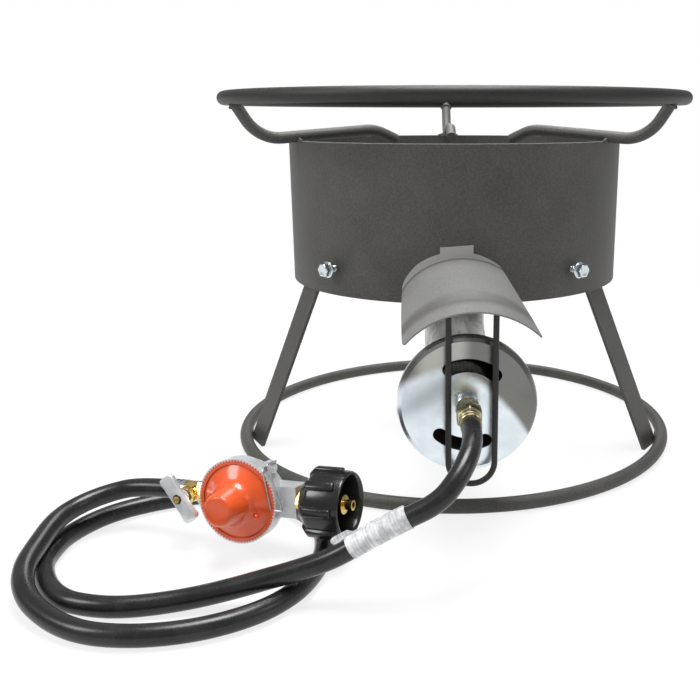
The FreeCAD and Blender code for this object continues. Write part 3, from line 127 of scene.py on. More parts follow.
# Heights between which a painted highlight runs along the guard's top edge, in metres.
HIGHLIGHT_EDGE = (0.30330, 0.30375)

# Places round the stand in degrees from the front, and the bolts' distance out and height in millimetres.
SUPPORT_AZIMUTHS = {"left": -65, "right": 57, "back": 180}
FOOT_AZIMUTHS = {"left": -81.5, "right": 74.3, "back_near": 172.2, "back_far": 180.6}
BOLT_AZIMUTHS = (-43.8, 38.2)
BOLT_REACH = 170.9
BOLT_HEIGHT = 193.3

# The camera in metres, degrees and millimetres, and each lamp's power, width, place and target.
CAMERA_PLACE = (-0.04110, -0.90201, 0.32656)
CAMERA_TILT = 74.99
CAMERA_TURN = -2.1
CAMERA_LENS = 45.0
CAMERA_SENSOR = 36.0
CAMERA_SHIFT = -0.1373
LAMPS = {
    "top": (46, 0.9, (0, -0.15, 1.9), (0, -0.15, 0.2)),
    "back": (12, 0.8, (0.1, 1.1, 1.5), (0, 0, 0.25)),
    "left": (9, 0.5, (-1.3, -0.7, 1.1), (-0.1, -0.25, 0.1)),
    "right": (2, 0.5, (1.3, -0.8, 0.9), (0, -0.2, 0.15)),
}
WHITE = (1, 1, 1, 1)


class StandColours(bpy.types.PropertyGroup):
    """Colours of the finishes, as linear values."""

    paint: bpy.props.FloatVectorProperty(
        name="Paint", description="Satin paint of the ring frame and the guard", subtype="COLOR",
        default=(0.0600, 0.0585, 0.0520))
    # Painted light: the heat shield's paint is paler than the frame's, to stand for the light from above on
    # it.
    shield: bpy.props.FloatVectorProperty(
        name="Shield paint", description="Paler paint of the heat shield", subtype="COLOR",
        default=(0.185, 0.184, 0.179))
    zinc: bpy.props.FloatVectorProperty(
        name="Zinc plate", description="Plated sheet and bolts", subtype="COLOR", default=(0.72, 0.79, 0.83))
    cast: bpy.props.FloatVectorProperty(
        name="Burner casting", description="Bare cast metal of the burner", subtype="COLOR",
        default=(0.50, 0.50, 0.48))
    brass: bpy.props.FloatVectorProperty(
        name="Brass", description="Fittings, nuts and valve", subtype="COLOR", default=(0.74, 0.53, 0.20))
    rubber: bpy.props.FloatVectorProperty(
        name="Rubber", description="Hose", subtype="COLOR", default=(0.013, 0.013, 0.0135))
    film: bpy.props.FloatVectorProperty(
        name="Film", description="Milky sleeve on the hose", subtype="COLOR", default=(0.80, 0.81, 0.82))
    die_cast: bpy.props.FloatVectorProperty(
        name="Die casting", description="Regulator body and valve handle", subtype="COLOR",
        default=(0.70, 0.72, 0.73))
    orange: bpy.props.FloatVectorProperty(
        name="Orange paint", description="Regulator cover", subtype="COLOR", default=(0.70, 0.084, 0.012))
    plastic: bpy.props.FloatVectorProperty(
        name="Black plastic", description="Moulded handwheel", subtype="COLOR", default=(0.012, 0.012, 0.012))
    steel: bpy.props.FloatVectorProperty(
        name="Spring steel", description="Springs and the wire loop", subtype="COLOR",
        default=(0.60, 0.61, 0.63))


class StandSizes(bpy.types.PropertyGroup):
    """Sizes of the pieces that are modelled here."""

    hose_diameter: bpy.props.FloatProperty(
        name="Hose", description="Outside diameter of the hose", default=0.015, unit="LENGTH")
    sleeve_radius: bpy.props.FloatProperty(
        name="Sleeve", description="Outside radius of the film sleeve", default=0.0081, unit="LENGTH")
    rib_count: bpy.props.IntProperty(
        name="Wheel ribs", description="Ribs round the handwheel", subtype="UNSIGNED", default=8)
    tooth_count: bpy.props.IntProperty(
        name="Crimp teeth", description="Teeth round the regulator's rim", subtype="UNSIGNED", default=76)


# Shader building

class Field:
    """A shader socket that can be used in Python expressions."""

    def __init__(self, shading, socket):
        self.shading = shading
        self.socket = socket

    def maths(self, operation, first, second):
        return self.shading.node("ShaderNodeMath", {"operation": operation}, {0: first, 1: second})

    def __add__(self, other):
        return self.maths("ADD", self, other)

    def __sub__(self, other):
        return self.maths("SUBTRACT", self, other)

    def __rsub__(self, other):
        return self.maths("SUBTRACT", other, self)

    def __mul__(self, other):
        return self.maths("MULTIPLY", self, other)

    def __pow__(self, other):
        return self.maths("POWER", self, other)

    def or_more(self, other):
        return self.maths("MAXIMUM", self, other)

    __radd__ = __add__
    __rmul__ = __mul__


class Shading:
    """An emptied node tree and the one way to add nodes to it."""

    def __init__(self, owner):
        owner.use_nodes = True
        self.tree = owner.node_tree
        self.tree.nodes.clear()

    def feed(self, socket, value):
        if isinstance(value, Field):
            self.tree.links.new(value.socket, socket)
        else:
            socket.default_value = value

    def node(self, kind, settings=None, inputs=None, output=0):
        """Add any node: its settings first, then the values or links of its sockets."""
        made = self.tree.nodes.new(kind)
        for name, value in (settings or {}).items():
            setattr(made, name, value)
        for key, value in (inputs or {}).items():
            self.feed(made.inputs[key], value)
        return Field(self, made.outputs[output]) if made.outputs else None

    def place(self):
        """Object coordinates, in metres."""
        return self.node("ShaderNodeTexCoord", output="Object")

    def along(self, axis):
        """One of the object coordinates: 0, 1 or 2."""
        return self.node("ShaderNodeSeparateXYZ", {}, {0: self.place()}, axis)

    def stretched(self, scale):
        """Object coordinates, scaled along each axis."""
        return self.node("ShaderNodeMapping", {"vector_type": "POINT"}, {
            "Vector": self.place(), "Scale": scale})

    def noise(self, scale, detail=2.0, roughness=0.5, at=None):
        """Cloudy pattern on the object coordinates, or on those given."""
        return self.node("ShaderNodeTexNoise", {"noise_dimensions": "3D"}, {
            "Vector": at or self.place(), "Scale": scale, "Detail": detail, "Roughness": roughness})

    def span(self, field, low, high, first=0.0, last=1.0):
        """Map a field from low..high to first..last, clamped and smooth."""
        return self.node("ShaderNodeMapRange", {"interpolation_type": "SMOOTHSTEP", "clamp": True},
                         {0: field, 1: low, 2: high, 3: first, 4: last})

    def tint(self, factor, first, second):
        """Mix two colours by a field."""
        return self.node("ShaderNodeMix", {"data_type": "RGBA"}, {0: factor, 6: first, 7: second}, 2)

    def seen(self, *rays):
        """One for the named kinds of ray, and none for others."""
        kinds = [self.node("ShaderNodeLightPath", output="Is %s Ray" % ray) for ray in rays]
        total = kinds[0]
        for kind in kinds[1:]:
            total = total.or_more(kind)
        return total


class Finish(Shading):
    """One procedural material: a Principled shader and the nodes that vary it."""

    def __init__(self, name, **values):
        self.material = bpy.data.materials.new(name)
        super().__init__(self.material)
        surface = self.node("ShaderNodeBsdfPrincipled")
        self.shader = surface.socket.node
        self.node("ShaderNodeOutputMaterial", {}, {"Surface": surface})
        self.set(**values)

    def set(self, **values):
        """Give the shader's sockets values or links; an underscore stands for a space."""
        for name, value in values.items():
            self.feed(self.shader.inputs[name.replace("_", " ").title().replace("Ior", "IOR")], value)

    def colour(self):
        """What feeds the base colour so far."""
        return Field(self, self.shader.inputs["Base Color"].links[0].from_socket)

    def bump(self, height, distance, strength):
        self.set(normal=self.node("ShaderNodeBump", {}, {
            "Height": height, "Distance": distance, "Strength": strength}))


def shade(colour, factor):
    """A colour made lighter or darker, with its alpha."""
    return (*[min(1.0, part * factor) for part in colour], 1.0)


def colours():
    return bpy.context.scene.stand_colours


def sizes():
    return bpy.context.scene.stand_sizes


# Finishes
FINISHES = {}


def finish(maker):
    """Make a finish once and hand out its material."""
    if maker.__name__ not in FINISHES:
        FINISHES[maker.__name__] = maker().material
    return FINISHES[maker.__name__]


def satin_paint(name="satin_paint", tone=1.0, kind="paint", depth=0.32):
    """Satin paint with a fine grain, as deep as asked for, and a slow change of sheen; its tone lightens or
    darkens the whole paint, which the lit and shaded copies use for painted light and shade.
    """
    paint = Finish(name, specular_ior_level=0.42)
    colour = getattr(colours(), kind)
    grain = paint.noise(620, 3, 0.7)
    cloud = paint.noise(22, 4, 0.55)
    speck = paint.span(grain, 0.36, 0.64) * 0.6 + paint.span(cloud, 0.3, 0.7) * 0.4
    dark = shade(colour, (1 - depth) * tone)
    light = shade(colour, (1 + depth) * tone)
    paint.set(base_color=paint.tint(speck, dark, light), roughness=0.40 + 0.14 * cloud + 0.12 * grain)
    paint.bump(grain, 0.0005 * depth, 0.5)
    return paint


def dark_paint():
    """The paint, darkened as painted shade on the backlit top ring and on the hose guard."""
    return satin_paint("dark_paint", 0.25)


def pale_paint():
    """The paint, lightened as painted light from above on the back support."""
    return satin_paint("pale_paint", 1.7)


def hood_paint():
    """The paint of the heat shield, paler as painted light from above, with painted shade along its crease
    and its fold.
    """
    paint = satin_paint("hood_paint", kind="shield", depth=0.17)
    out = -HOOD_START * MM - paint.along(1)
    # Painted shade: a band across the fold, and a line in the crease against the guard.
    fold = paint.span(out, 0.0626, 0.0716) - paint.span(out, 0.0746, 0.0846)
    flat = paint.node("ShaderNodeVectorMath", {"operation": "MULTIPLY"}, {0: paint.place(), 1: (1, 1, 0)})
    reach = paint.node("ShaderNodeVectorMath", {"operation": "LENGTH"}, {0: flat}, "Value")
    off_wall = reach - HOOD_WALL * MM
    crease = paint.span(off_wall, 0.00015, 0.00115) - paint.span(off_wall, 0.00215, 0.00745)
    on_guard = paint.span(off_wall, 0.00005, 0.00055, 1, 0)
    painted = paint.tint(0.8 * on_guard, paint.colour(), shade(colours().shield, 2.0))
    # Painted shade along the fold and in the crease, in a darker copy of the frame's paint.
    paint.set(base_color=paint.tint(0.58 * fold + 0.8 * crease, painted, shade(colours().paint, 0.9)))
    return paint


def guard_paint():
    """The paint, with a painted highlight along the guard's top edge: a paler, half-metallic band."""
    paint = satin_paint("guard_paint", 0.98)
    ragged = paint.along(2) + 0.0006 * (paint.noise(180, 3) - 0.5)
    edge = paint.span(ragged, *HIGHLIGHT_EDGE)
    # Painted highlight: paler grey along the top edge.
    highlight_grey = (0.42, 0.42, 0.40, 1)
    paint.set(base_color=paint.tint(edge * 0.7, paint.colour(), highlight_grey), metallic=edge * 0.6)
    return paint


def zinc_plate():
    """Bright zinc with a cold tint, fine lines and soft cloudy stains."""
    zinc = Finish("zinc_plate", metallic=1.0)
    cloud = zinc.noise(38, 4, 0.6)
    fine = zinc.noise(900, 2)
    stain = zinc.span(zinc.noise(14, 2), 0.5, 0.75) * 0.4
    base = zinc.tint(zinc.span(cloud, 0.35, 0.68), shade(colours().zinc, 1.06), shade(colours().zinc, 0.86))
    yellowed = (0.74, 0.73, 0.66, 1)
    zinc.set(base_color=zinc.tint(stain, base, yellowed), roughness=0.12 + 0.12 * cloud + 0.05 * fine)
    zinc.bump(fine, 0.00003, 0.35)
    return zinc


def shutter_zinc():
    """Zinc of the shutter: rolled sheet, cold and bright below, with a mottled bloom; greyer above as a
    painted reflection, palest in the middle.
    """
    zinc = Finish("shutter_zinc", metallic=1.0)
    cloud = zinc.noise(30, 5, 0.62)
    rolled = zinc.noise(1.0, 3, 0.6, zinc.stretched((60, 60, 1900)))
    across = zinc.along(0) + 0.020
    # Painted reflection: the upper part is greyer, with a paler patch in the middle.
    above = zinc.span(zinc.along(2) + 11 * across * across + 0.006 * cloud, 0.130, 0.140)
    middle = zinc.span(across * across, 0.0001, 0.0006, 1.0, 0.0)
    bright = zinc.tint(zinc.span(cloud, 0.35, 0.7), shade(colours().zinc, 1.12), shade(colours().zinc, 0.95))
    reflected_dark_grey = (0.07, 0.07, 0.063, 1)
    reflected_pale_grey = (0.58, 0.58, 0.54, 1)
    painted_reflection = zinc.tint(0.12 + 0.5 * middle + 0.22 * cloud, reflected_dark_grey, reflected_pale_grey)
    zinc.set(base_color=zinc.tint(above, bright, painted_reflection), roughness=0.13 + 0.14 * cloud + 0.06 * rolled)
    zinc.bump(rolled, 0.00003, 0.4)
    return zinc


def cast_metal():
    """Sand-cast metal: grainy, with draw lines and a parting strip; painted shade inside the bell, and darker
    on the burner's head.
    """
    cast = Finish("cast_metal")
    sand = cast.noise(620, 4, 0.65)
    lines = cast.noise(1.0, 3, 0.6, cast.stretched((420, 30, 60)))
    stain = cast.span(0.6 * lines + 0.4 * cast.noise(90, 4, 0.6), 0.42, 0.6)
    aside = cast.along(0) + 0.0035
    strip = cast.span(aside * aside, 0.000006, 0.000012, 1, 0)
    bright = cast.tint(stain * 0.7, shade(colours().cast, 1.25), shade(colours().cast, 0.55))
    height = cast.along(2) - TUBE_HEIGHT
    radius = (cast.along(0) * cast.along(0) + height * height) ** 0.5
    # Painted shade on the inside of the bell's mouth.
    under_skin = THROAT_RADIUS - BELL_SLOPE * (cast.along(1) + THROAT_FRONT) - radius
    in_bell = cast.span(cast.along(1), -0.190, -THROAT_FRONT, 1, 0)
    inside = cast.span(under_skin, 0.0016, 0.0028) * in_bell
    # Darker towards the burner's head, and painted shade inside the bell.
    dark_head_and_shade = cast.span(height, 0.085, 0.110).or_more(inside)
    cast.set(base_color=cast.tint(dark_head_and_shade, bright, shade(colours().cast, 0.13)),
             roughness=0.24 + 0.2 * sand + 0.1 * stain + 0.2 * dark_head_and_shade,
             metallic=0.96 - 0.2 * stain - 0.5 * dark_head_and_shade)
    cast.bump(sand + 0.8 * lines + 1.6 * strip, 0.0004, 0.7)
    return cast


def brass():
    """Turned brass, slightly tarnished."""
    metal = Finish("brass", metallic=1.0)
    turned = metal.noise(1500, 2)
    tarnish = metal.span(metal.noise(120, 4, 0.6), 0.42, 0.72)
    browned = (0.50, 0.38, 0.15, 1)
    metal.set(base_color=metal.tint(tarnish * 0.55, shade(colours().brass, 1.06), browned),
              roughness=0.17 + 0.16 * tarnish + 0.06 * turned)
    metal.bump(turned, 0.00002, 0.4)
    return metal


def dull_brass():
    """Brass fittings of the burner, browned and greenish."""
    metal = Finish("dull_brass", metallic=1.0)
    turned = metal.noise(1500, 2)
    tarnish = metal.span(metal.noise(150, 4, 0.6), 0.38, 0.66)
    greenish = (0.60, 0.55, 0.34, 1)
    browned = (0.34, 0.29, 0.15, 1)
    metal.set(base_color=metal.tint(tarnish, greenish, browned),
              roughness=0.18 + 0.18 * tarnish + 0.06 * turned)
    metal.bump(turned, 0.00002, 0.4)
    return metal


def hose_rubber():
    """Smooth black rubber with a dull bloom and fine scuffs."""
    rubber = Finish("hose_rubber", specular_ior_level=0.4)
    bloom = rubber.noise(60, 4, 0.6)
    skin = rubber.noise(1300, 3, 0.6)
    scuff = rubber.span(rubber.noise(240, 3, 0.7), 0.66, 0.8)
    paler = rubber.span(bloom, 0.35, 0.7) * 0.5 + 0.35 * scuff
    rubber.set(base_color=rubber.tint(paler, shade(colours().rubber, 0.85), shade(colours().rubber, 1.9)),
               roughness=0.20 + 0.14 * bloom + 0.12 * scuff)
    rubber.bump(skin, 0.00006, 0.35)
    return rubber


def sleeve_film():
    """Milky film with streaks across, that lets a little of the dark hose through."""
    film = Finish("sleeve_film", specular_ior_level=0.5)
    run = 0.866 * film.along(0) + 0.5 * film.along(2)
    streak = film.node("ShaderNodeTexNoise", {"noise_dimensions": "1D"}, {
        "W": run, "Scale": 620, "Detail": 2})
    cloud = film.span(film.noise(110, 3, 0.55), 0.38, 0.66)
    veil = film.span(streak, 0.34, 0.68) * 0.4 + cloud * 0.6
    film.set(base_color=film.tint(veil, shade(colours().film, 0.56), shade(colours().film, 1.0)),
             roughness=0.20 + 0.2 * cloud, alpha=0.74 + 0.2 * veil)
    film.bump(streak, 0.0001, 0.3)
    return film


def die_casting():
    """Pressure die casting: light, even, with a sharkskin grain."""
    cast = Finish("die_casting")
    grain = cast.noise(800, 3, 0.6)
    cloud = cast.noise(70, 4, 0.6)
    cast.set(base_color=cast.tint(cast.span(cloud, 0.35, 0.68), shade(colours().die_cast, 1.08),
                                  shade(colours().die_cast, 0.84)),
             metallic=0.72 - 0.1 * cloud, roughness=0.26 + 0.14 * cloud + 0.08 * grain)
    cast.bump(grain, 0.00008, 0.5)
    return cast


def orange_paint():
    """Glossy orange-red paint with a slight orange peel."""
    paint = Finish("orange_paint", specular_ior_level=0.35, coat_roughness=0.12)
    peel = paint.noise(330, 2)
    cloud = paint.noise(55, 3)
    paint.set(base_color=paint.tint(paint.span(cloud, 0.3, 0.7), shade(colours().orange, 0.93),
                                    shade(colours().orange, 1.07)),
              roughness=0.30 + 0.12 * cloud, coat_weight=0.52 + 0.2 * cloud)
    paint.bump(peel, 0.00010, 0.4)
    return paint


def black_plastic():
    """Moulded black plastic with a fine spark grain."""
    plastic = Finish("black_plastic", specular_ior_level=0.5)
    grain = plastic.noise(1100, 3, 0.6)
    cloud = plastic.noise(60, 3)
    rub = plastic.span(plastic.noise(170, 4, 0.7), 0.58, 0.75)
    dark = shade(colours().plastic, 0.9)
    rubbed = shade(colours().plastic, 2.2)
    plastic.set(base_color=plastic.tint(rub * 0.6, dark, rubbed), roughness=0.15 + 0.12 * cloud + 0.08 * rub)
    plastic.bump(grain, 0.00007, 0.45)
    return plastic


def spring_steel():
    """Drawn bright wire."""
    steel = Finish("spring_steel", metallic=1.0)
    drawn = steel.noise(1400, 2)
    cloud = steel.noise(140, 3)
    steel.set(base_color=steel.tint(steel.span(cloud, 0.35, 0.7), shade(colours().steel, 1.08),
                                    shade(colours().steel, 0.78)),
              roughness=0.20 + 0.14 * cloud + 0.04 * drawn)
    steel.bump(drawn, 0.00002, 0.3)
    return steel


NODE_FINISHES = {
    satin_paint: ("base_ring", "pot_support_left", "pot_support_right", "leg_left", "leg_right", "leg_back",
                  "burner_strap"),
    # Painted shade: a darker copy of the paint on the top ring and the hose guard.
    dark_paint: ("top_ring", "hose_guard"),
    # Painted light: a paler copy of the paint on the back support.
    pale_paint: ("pot_support_back",),
    hood_paint: ("heat_shield",),
    guard_paint: ("wind_guard",),
    zinc_plate: ("guard_bolts", "guard_nuts", "burner_bolt", "valve_ferrule"),
    shutter_zinc: ("air_shutter",),
    cast_metal: ("burner_casting",),
    dull_brass: ("orifice_fitting", "swivel_nut", "burner_ferrule"),
    brass: ("valve_body", "packing_nut", "valve_stem", "handle_screw", "inlet_nipple", "inlet_jet"),
    hose_rubber: ("hose", "diaphragm", "seat_pad"),
    sleeve_film: ("hose_sleeve",),
    die_casting: ("regulator_body", "t_handle", "diaphragm_plate", "adjuster"),
    orange_paint: ("regulator_cover",),
    black_plastic: ("handwheel",),
    spring_steel: ("shutter_spring", "regulator_spring", "wire_loop"),
}


# Modelling

def begin(name, add, **options):
    """Add a primitive with nothing else selected, and name it."""
    bpy.ops.object.select_all(action="DESELECT")
    add(**options)
    piece = bpy.context.object
    piece.name = name
    piece.data.name = name
    return piece


@contextmanager
def editing(piece, mode="VERT"):
    """Edit mode on one piece, with nothing selected at first."""
    bpy.context.view_layer.objects.active = piece
    bpy.ops.object.mode_set(mode="EDIT")
    bpy.ops.mesh.select_mode(type=mode)
    bpy.ops.mesh.select_all(action="DESELECT")
    yield
    bpy.ops.object.mode_set(mode="OBJECT")


def choose(piece, kind, test):
    """Select the vertices, edges or faces that pass a test."""
    mesh = bmesh.from_edit_mesh(piece.data)
    for item in getattr(mesh, kind):
        item.select_set(test(item))
    mesh.select_flush_mode()
    bmesh.update_edit_mesh(piece.data)


def clean(piece):
    """Merge doubles and turn the faces outwards."""
    with editing(piece):
        bpy.ops.mesh.select_all(action="SELECT")
        bpy.ops.mesh.remove_doubles(threshold=1e-6)
        bpy.ops.mesh.normals_make_consistent(inside=False)


def settle(piece, body, maker, matrix=None, replaced=(), smooth=35):
    """Place a piece in its mesh, shade it, paint it and hang it on its body."""
    select(piece)
    if matrix is not None:
        piece.matrix_world = matrix @ piece.matrix_world
    bpy.ops.object.transform_apply(location=True, rotation=True, scale=True)
    if piece.type == "MESH":
        bpy.ops.object.shade_smooth_by_angle(angle=math.radians(smooth))
    piece.data.materials.clear()
    piece.data.materials.append(finish(maker))
    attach(piece, body)
    if replaced:
        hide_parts(*replaced)
    return piece


def path(name, points, thickness, radii=None, sides=6, resolution=8):
    """Round bar along a smooth curve of the third order, with caps; radii are shares of the thickness."""
    piece = begin(name, bpy.ops.curve.primitive_nurbs_path_add)
    curve = piece.data
    line = curve.splines[0]
    line.points.add(len(points) - len(line.points))
    for index, point in enumerate(points):
        line.points[index].co = (*point, 1)
        line.points[index].radius = radii[index] if radii else 1
    line.order_u = 3
    line.use_endpoint_u = True
    line.resolution_u = resolution
    curve.bevel_depth = thickness / 2
    curve.bevel_resolution = sides
    curve.use_fill_caps = True
    return piece


def to_mesh(piece):
    """Turn a curve into a clean mesh."""
    select(piece)
    bpy.ops.object.convert(target="MESH")
    clean(piece)
    return piece


def select(*pieces):
    """Select these pieces and nothing else; the first is the active one."""
    bpy.ops.object.select_all(action="DESELECT")
    for piece in pieces:
        piece.select_set(True)
    bpy.context.view_layer.objects.active = pieces[0]


def join(*pieces):
    """Join pieces into the first of them."""
    select(*pieces)
    bpy.ops.object.join()
    return pieces[0]


def copy_of(piece, matrix):
    """Copy with a mesh of its own, at a new place."""
    twin = piece.copy()
    twin.data = piece.data.copy()
    bpy.context.scene.collection.objects.link(twin)
    twin.matrix_world = matrix
    return twin


def outline(name, points):
    """Chain of edges through points, drawn by pulling one vertex along."""
    piece = begin(name, bpy.ops.mesh.primitive_plane_add, size=MM)
    with editing(piece):
        bpy.ops.mesh.select_all(action="SELECT")
        bpy.ops.mesh.merge(type="CENTER")
        bpy.ops.transform.translate(value=points[0])
        for first, second in zip(points, points[1:]):
            step = Vector(second) - Vector(first)
            bpy.ops.mesh.extrude_vertices_move(TRANSFORM_OT_translate={"value": step})
    return piece


def lathe(name, profile, steps=64):
    """Profile of radii and heights in millimetres, spun round Z."""
    piece = outline(name, [(radius * MM, 0, height * MM) for radius, height in profile])
    with editing(piece):
        bpy.ops.mesh.select_all(action="SELECT")
        bpy.ops.mesh.spin(steps=steps, angle=2 * math.pi, center=(0, 0, 0), axis=(0, 0, 1))
    clean(piece)
    return piece


def soften(piece, test, width, segments=3):
    """Bevel the edges that pass a test."""
    with editing(piece, "EDGE"):
        choose(piece, "edges", test)
        bpy.ops.mesh.bevel(offset=width, segments=segments, affect="EDGES", clamp_overlap=True)
    return piece


def on_circle(radius, height):
    """Test for the edges of a lathed ring, in millimetres."""
    def test(edge):
        return all(abs(math.hypot(vert.co.x, vert.co.y) - radius * MM) < 0.05 * MM
                   and abs(vert.co.z - height * MM) < 0.05 * MM for vert in edge.verts)
    return test


def finished(piece, kind, **settings):
    """Add a modifier, set it up and apply it."""
    select(piece)
    bpy.ops.object.modifier_add(type=kind)
    added = piece.modifiers[-1]
    for name, value in settings.items():
        setattr(added, name, value)
    bpy.ops.object.modifier_apply(modifier=added.name)
    return piece


def roughen(piece, grain, depth):
    """Push the surface in and out by a cloudy pattern, in millimetres."""
    clouds = bpy.data.textures.new(piece.name, "CLOUDS")
    clouds.noise_scale = grain * MM
    return finished(piece, "DISPLACE", texture=clouds, texture_coords="LOCAL", strength=depth * MM,
                    mid_level=0.5)


def helix(radius, start, rise, turns):
    """Points of a screw line round Z, in metres, from sizes in millimetres."""
    per_turn = 12
    steps = round(turns * per_turn)
    # The smooth curve runs inside its points, so they lie a little farther out.
    wide = radius * 2 / (1 + math.cos(math.pi / per_turn)) * MM
    line = []
    for step in range(steps + 1):
        angle = 2 * math.pi * step / per_turn
        line.append((wide * math.cos(angle), wide * math.sin(angle), (start + rise * step / steps) * MM))
    return line


def between(pair, share):
    """Value part of the way from the first of a pair to the second."""
    return pair[0] + (pair[1] - pair[0]) * share


def outward(azimuth, reach, height):
    """Matrix whose local Z points away from the stand's axis; distance out and height in millimetres."""
    return (Matrix.Rotation(math.radians(azimuth - 90), 4, "Z")
            @ Matrix.Translation((reach * MM, 0, height * MM))
            @ Matrix.Rotation(math.radians(90), 4, "Y"))


def round_piece(azimuth, points):
    """Points given as distance out, aside and height in millimetres, turned to an azimuth."""
    turn = Matrix.Rotation(math.radians(azimuth - 90), 4, "Z")
    return [turn @ (Vector(point) * MM) for point in points]


# Pieces

class STAND_OT_finishes(bpy.types.Operator):
    """Give every node of the frame its finish"""

    bl_idname = "stand.finishes"
    bl_label = "Finishes"

    def execute(self, context):
        for maker, names in NODE_FINISHES.items():
            for name in names:
                for holder in NODES[name].material_slots:
                    holder.material = finish(maker)
        bare = sorted(set(NODES) - {name for names in NODE_FINISHES.values() for name in names})
        if bare:
            raise RuntimeError("no finish for " + ", ".join(bare))
        return {"FINISHED"}


class STAND_OT_hose(bpy.types.Operator):
    """Lay the rubber hose along its route"""

    bl_idname = "stand.hose"
    bl_label = "Hose"

    def execute(self, context):
        hose = path("rubber_hose", HOSE_ROUTE, sizes().hose_diameter, sides=7, resolution=10)
        settle(hose, "stand", hose_rubber, replaced=("hose",))
        return {"FINISHED"}


def hose_line():
    """Points that the hose's smooth line passes through."""
    line = path("hose_line", HOSE_ROUTE, 0, resolution=10)
    drawn = bpy.data.meshes.new_from_object(line)
    points = [vertex.co.copy() for vertex in drawn.vertices]
    bpy.data.meshes.remove(drawn)
    bpy.data.objects.remove(line)
    return points


class STAND_OT_sleeve(bpy.types.Operator):
    """Wrap the milky film round the hose, with its wrinkles and the seam that stands off it"""

    bl_idname = "stand.sleeve"
    bl_label = "Film sleeve"

    def execute(self, context):
        line = [point for point in hose_line()
                if SLEEVE_SPAN[0] < point.x < SLEEVE_SPAN[1] and point.z > SLEEVE_ABOVE]
        if len(line) < 4:
            raise RuntimeError("the hose has no stretch for the sleeve")
        swell = [1 + 0.008 * math.sin(2.3 * step) + 0.006 * math.sin(5.1 * step + 1)
                 for step in range(len(line))]
        film = path("film_sleeve", line, 2 * sizes().sleeve_radius, swell, sides=10, resolution=6)
        film.data.use_fill_caps = False
        to_mesh(film)
        roughen(film, grain=3, depth=0.16)
        finished(film, "SOLIDIFY", thickness=0.3 * MM, offset=-1)
        settle(film, "stand", sleeve_film, replaced=("hose_sleeve",))
        seam = self.seam(line)
        settle(seam, "stand", sleeve_film)
        return {"FINISHED"}

    def seam(self, line):
        """Two layers of film pressed together along the top, longer than the sleeve at the low end."""
        along = (line[-1] - line[0]).normalized()
        up = (Vector((0, 0, 1)) - along * along.z + Vector((0, 0.7, 0))).normalized()
        foot = sizes().sleeve_radius * 0.97
        tail = [line[-1] + along * (past * MM) for past in (6, 12)]
        seam = outline("film_seam", [point + up * foot for point in line + tail])
        with editing(seam):
            bpy.ops.mesh.select_all(action="SELECT")
            bpy.ops.mesh.extrude_edges_move(TRANSFORM_OT_translate={"value": up * (1.6 * MM)})
            choose(seam, "verts", lambda vert: (vert.co - line[-1]).dot(along) > -4 * MM
                   and (vert.co - line[-1]).dot(up) > foot + 0.8 * MM)
            bpy.ops.transform.translate(value=up * (3.2 * MM))
        finished(seam, "SUBSURF", levels=2, render_levels=2)
        roughen(seam, grain=4, depth=0.2)
        finished(seam, "SOLIDIFY", thickness=0.25 * MM, offset=0)
        clean(seam)
        return seam


class STAND_OT_springs(bpy.types.Operator):
    """Wind the shutter's spring and the regulator's spring, and form the diaphragm"""

    bl_idname = "stand.springs"
    bl_label = "Springs and diaphragm"

    def execute(self, context):
        turns = helix(radius=8.7, start=242.5, rise=5.9, turns=2.5)
        front = path("shutter_coil", turns, 1.6 * MM, sides=4)
        settle(to_mesh(front), "stand", spring_steel, FRONT, ("shutter_spring",))
        turns = helix(radius=6.6, start=15.2, rise=21.0, turns=5)
        inner = path("regulator_coil", turns, 1.4 * MM, sides=4)
        settle(to_mesh(inner), "stand", spring_steel, GROUP, ("regulator_spring",))
        disc = lathe("rubber_diaphragm", [
            (3.2, 9.9), (16.5, 9.9), (19.0, 10.3), (20.5, 11.6), (22.4, 12.05), (30.0, 12.05), (30.0, 13.1),
            (22.4, 13.1), (20.2, 12.7), (18.6, 11.4), (16.3, 11.0), (3.2, 11.0), (3.2, 9.9)])
        settle(disc, "stand", hose_rubber, GROUP, ("diaphragm",))
        return {"FINISHED"}


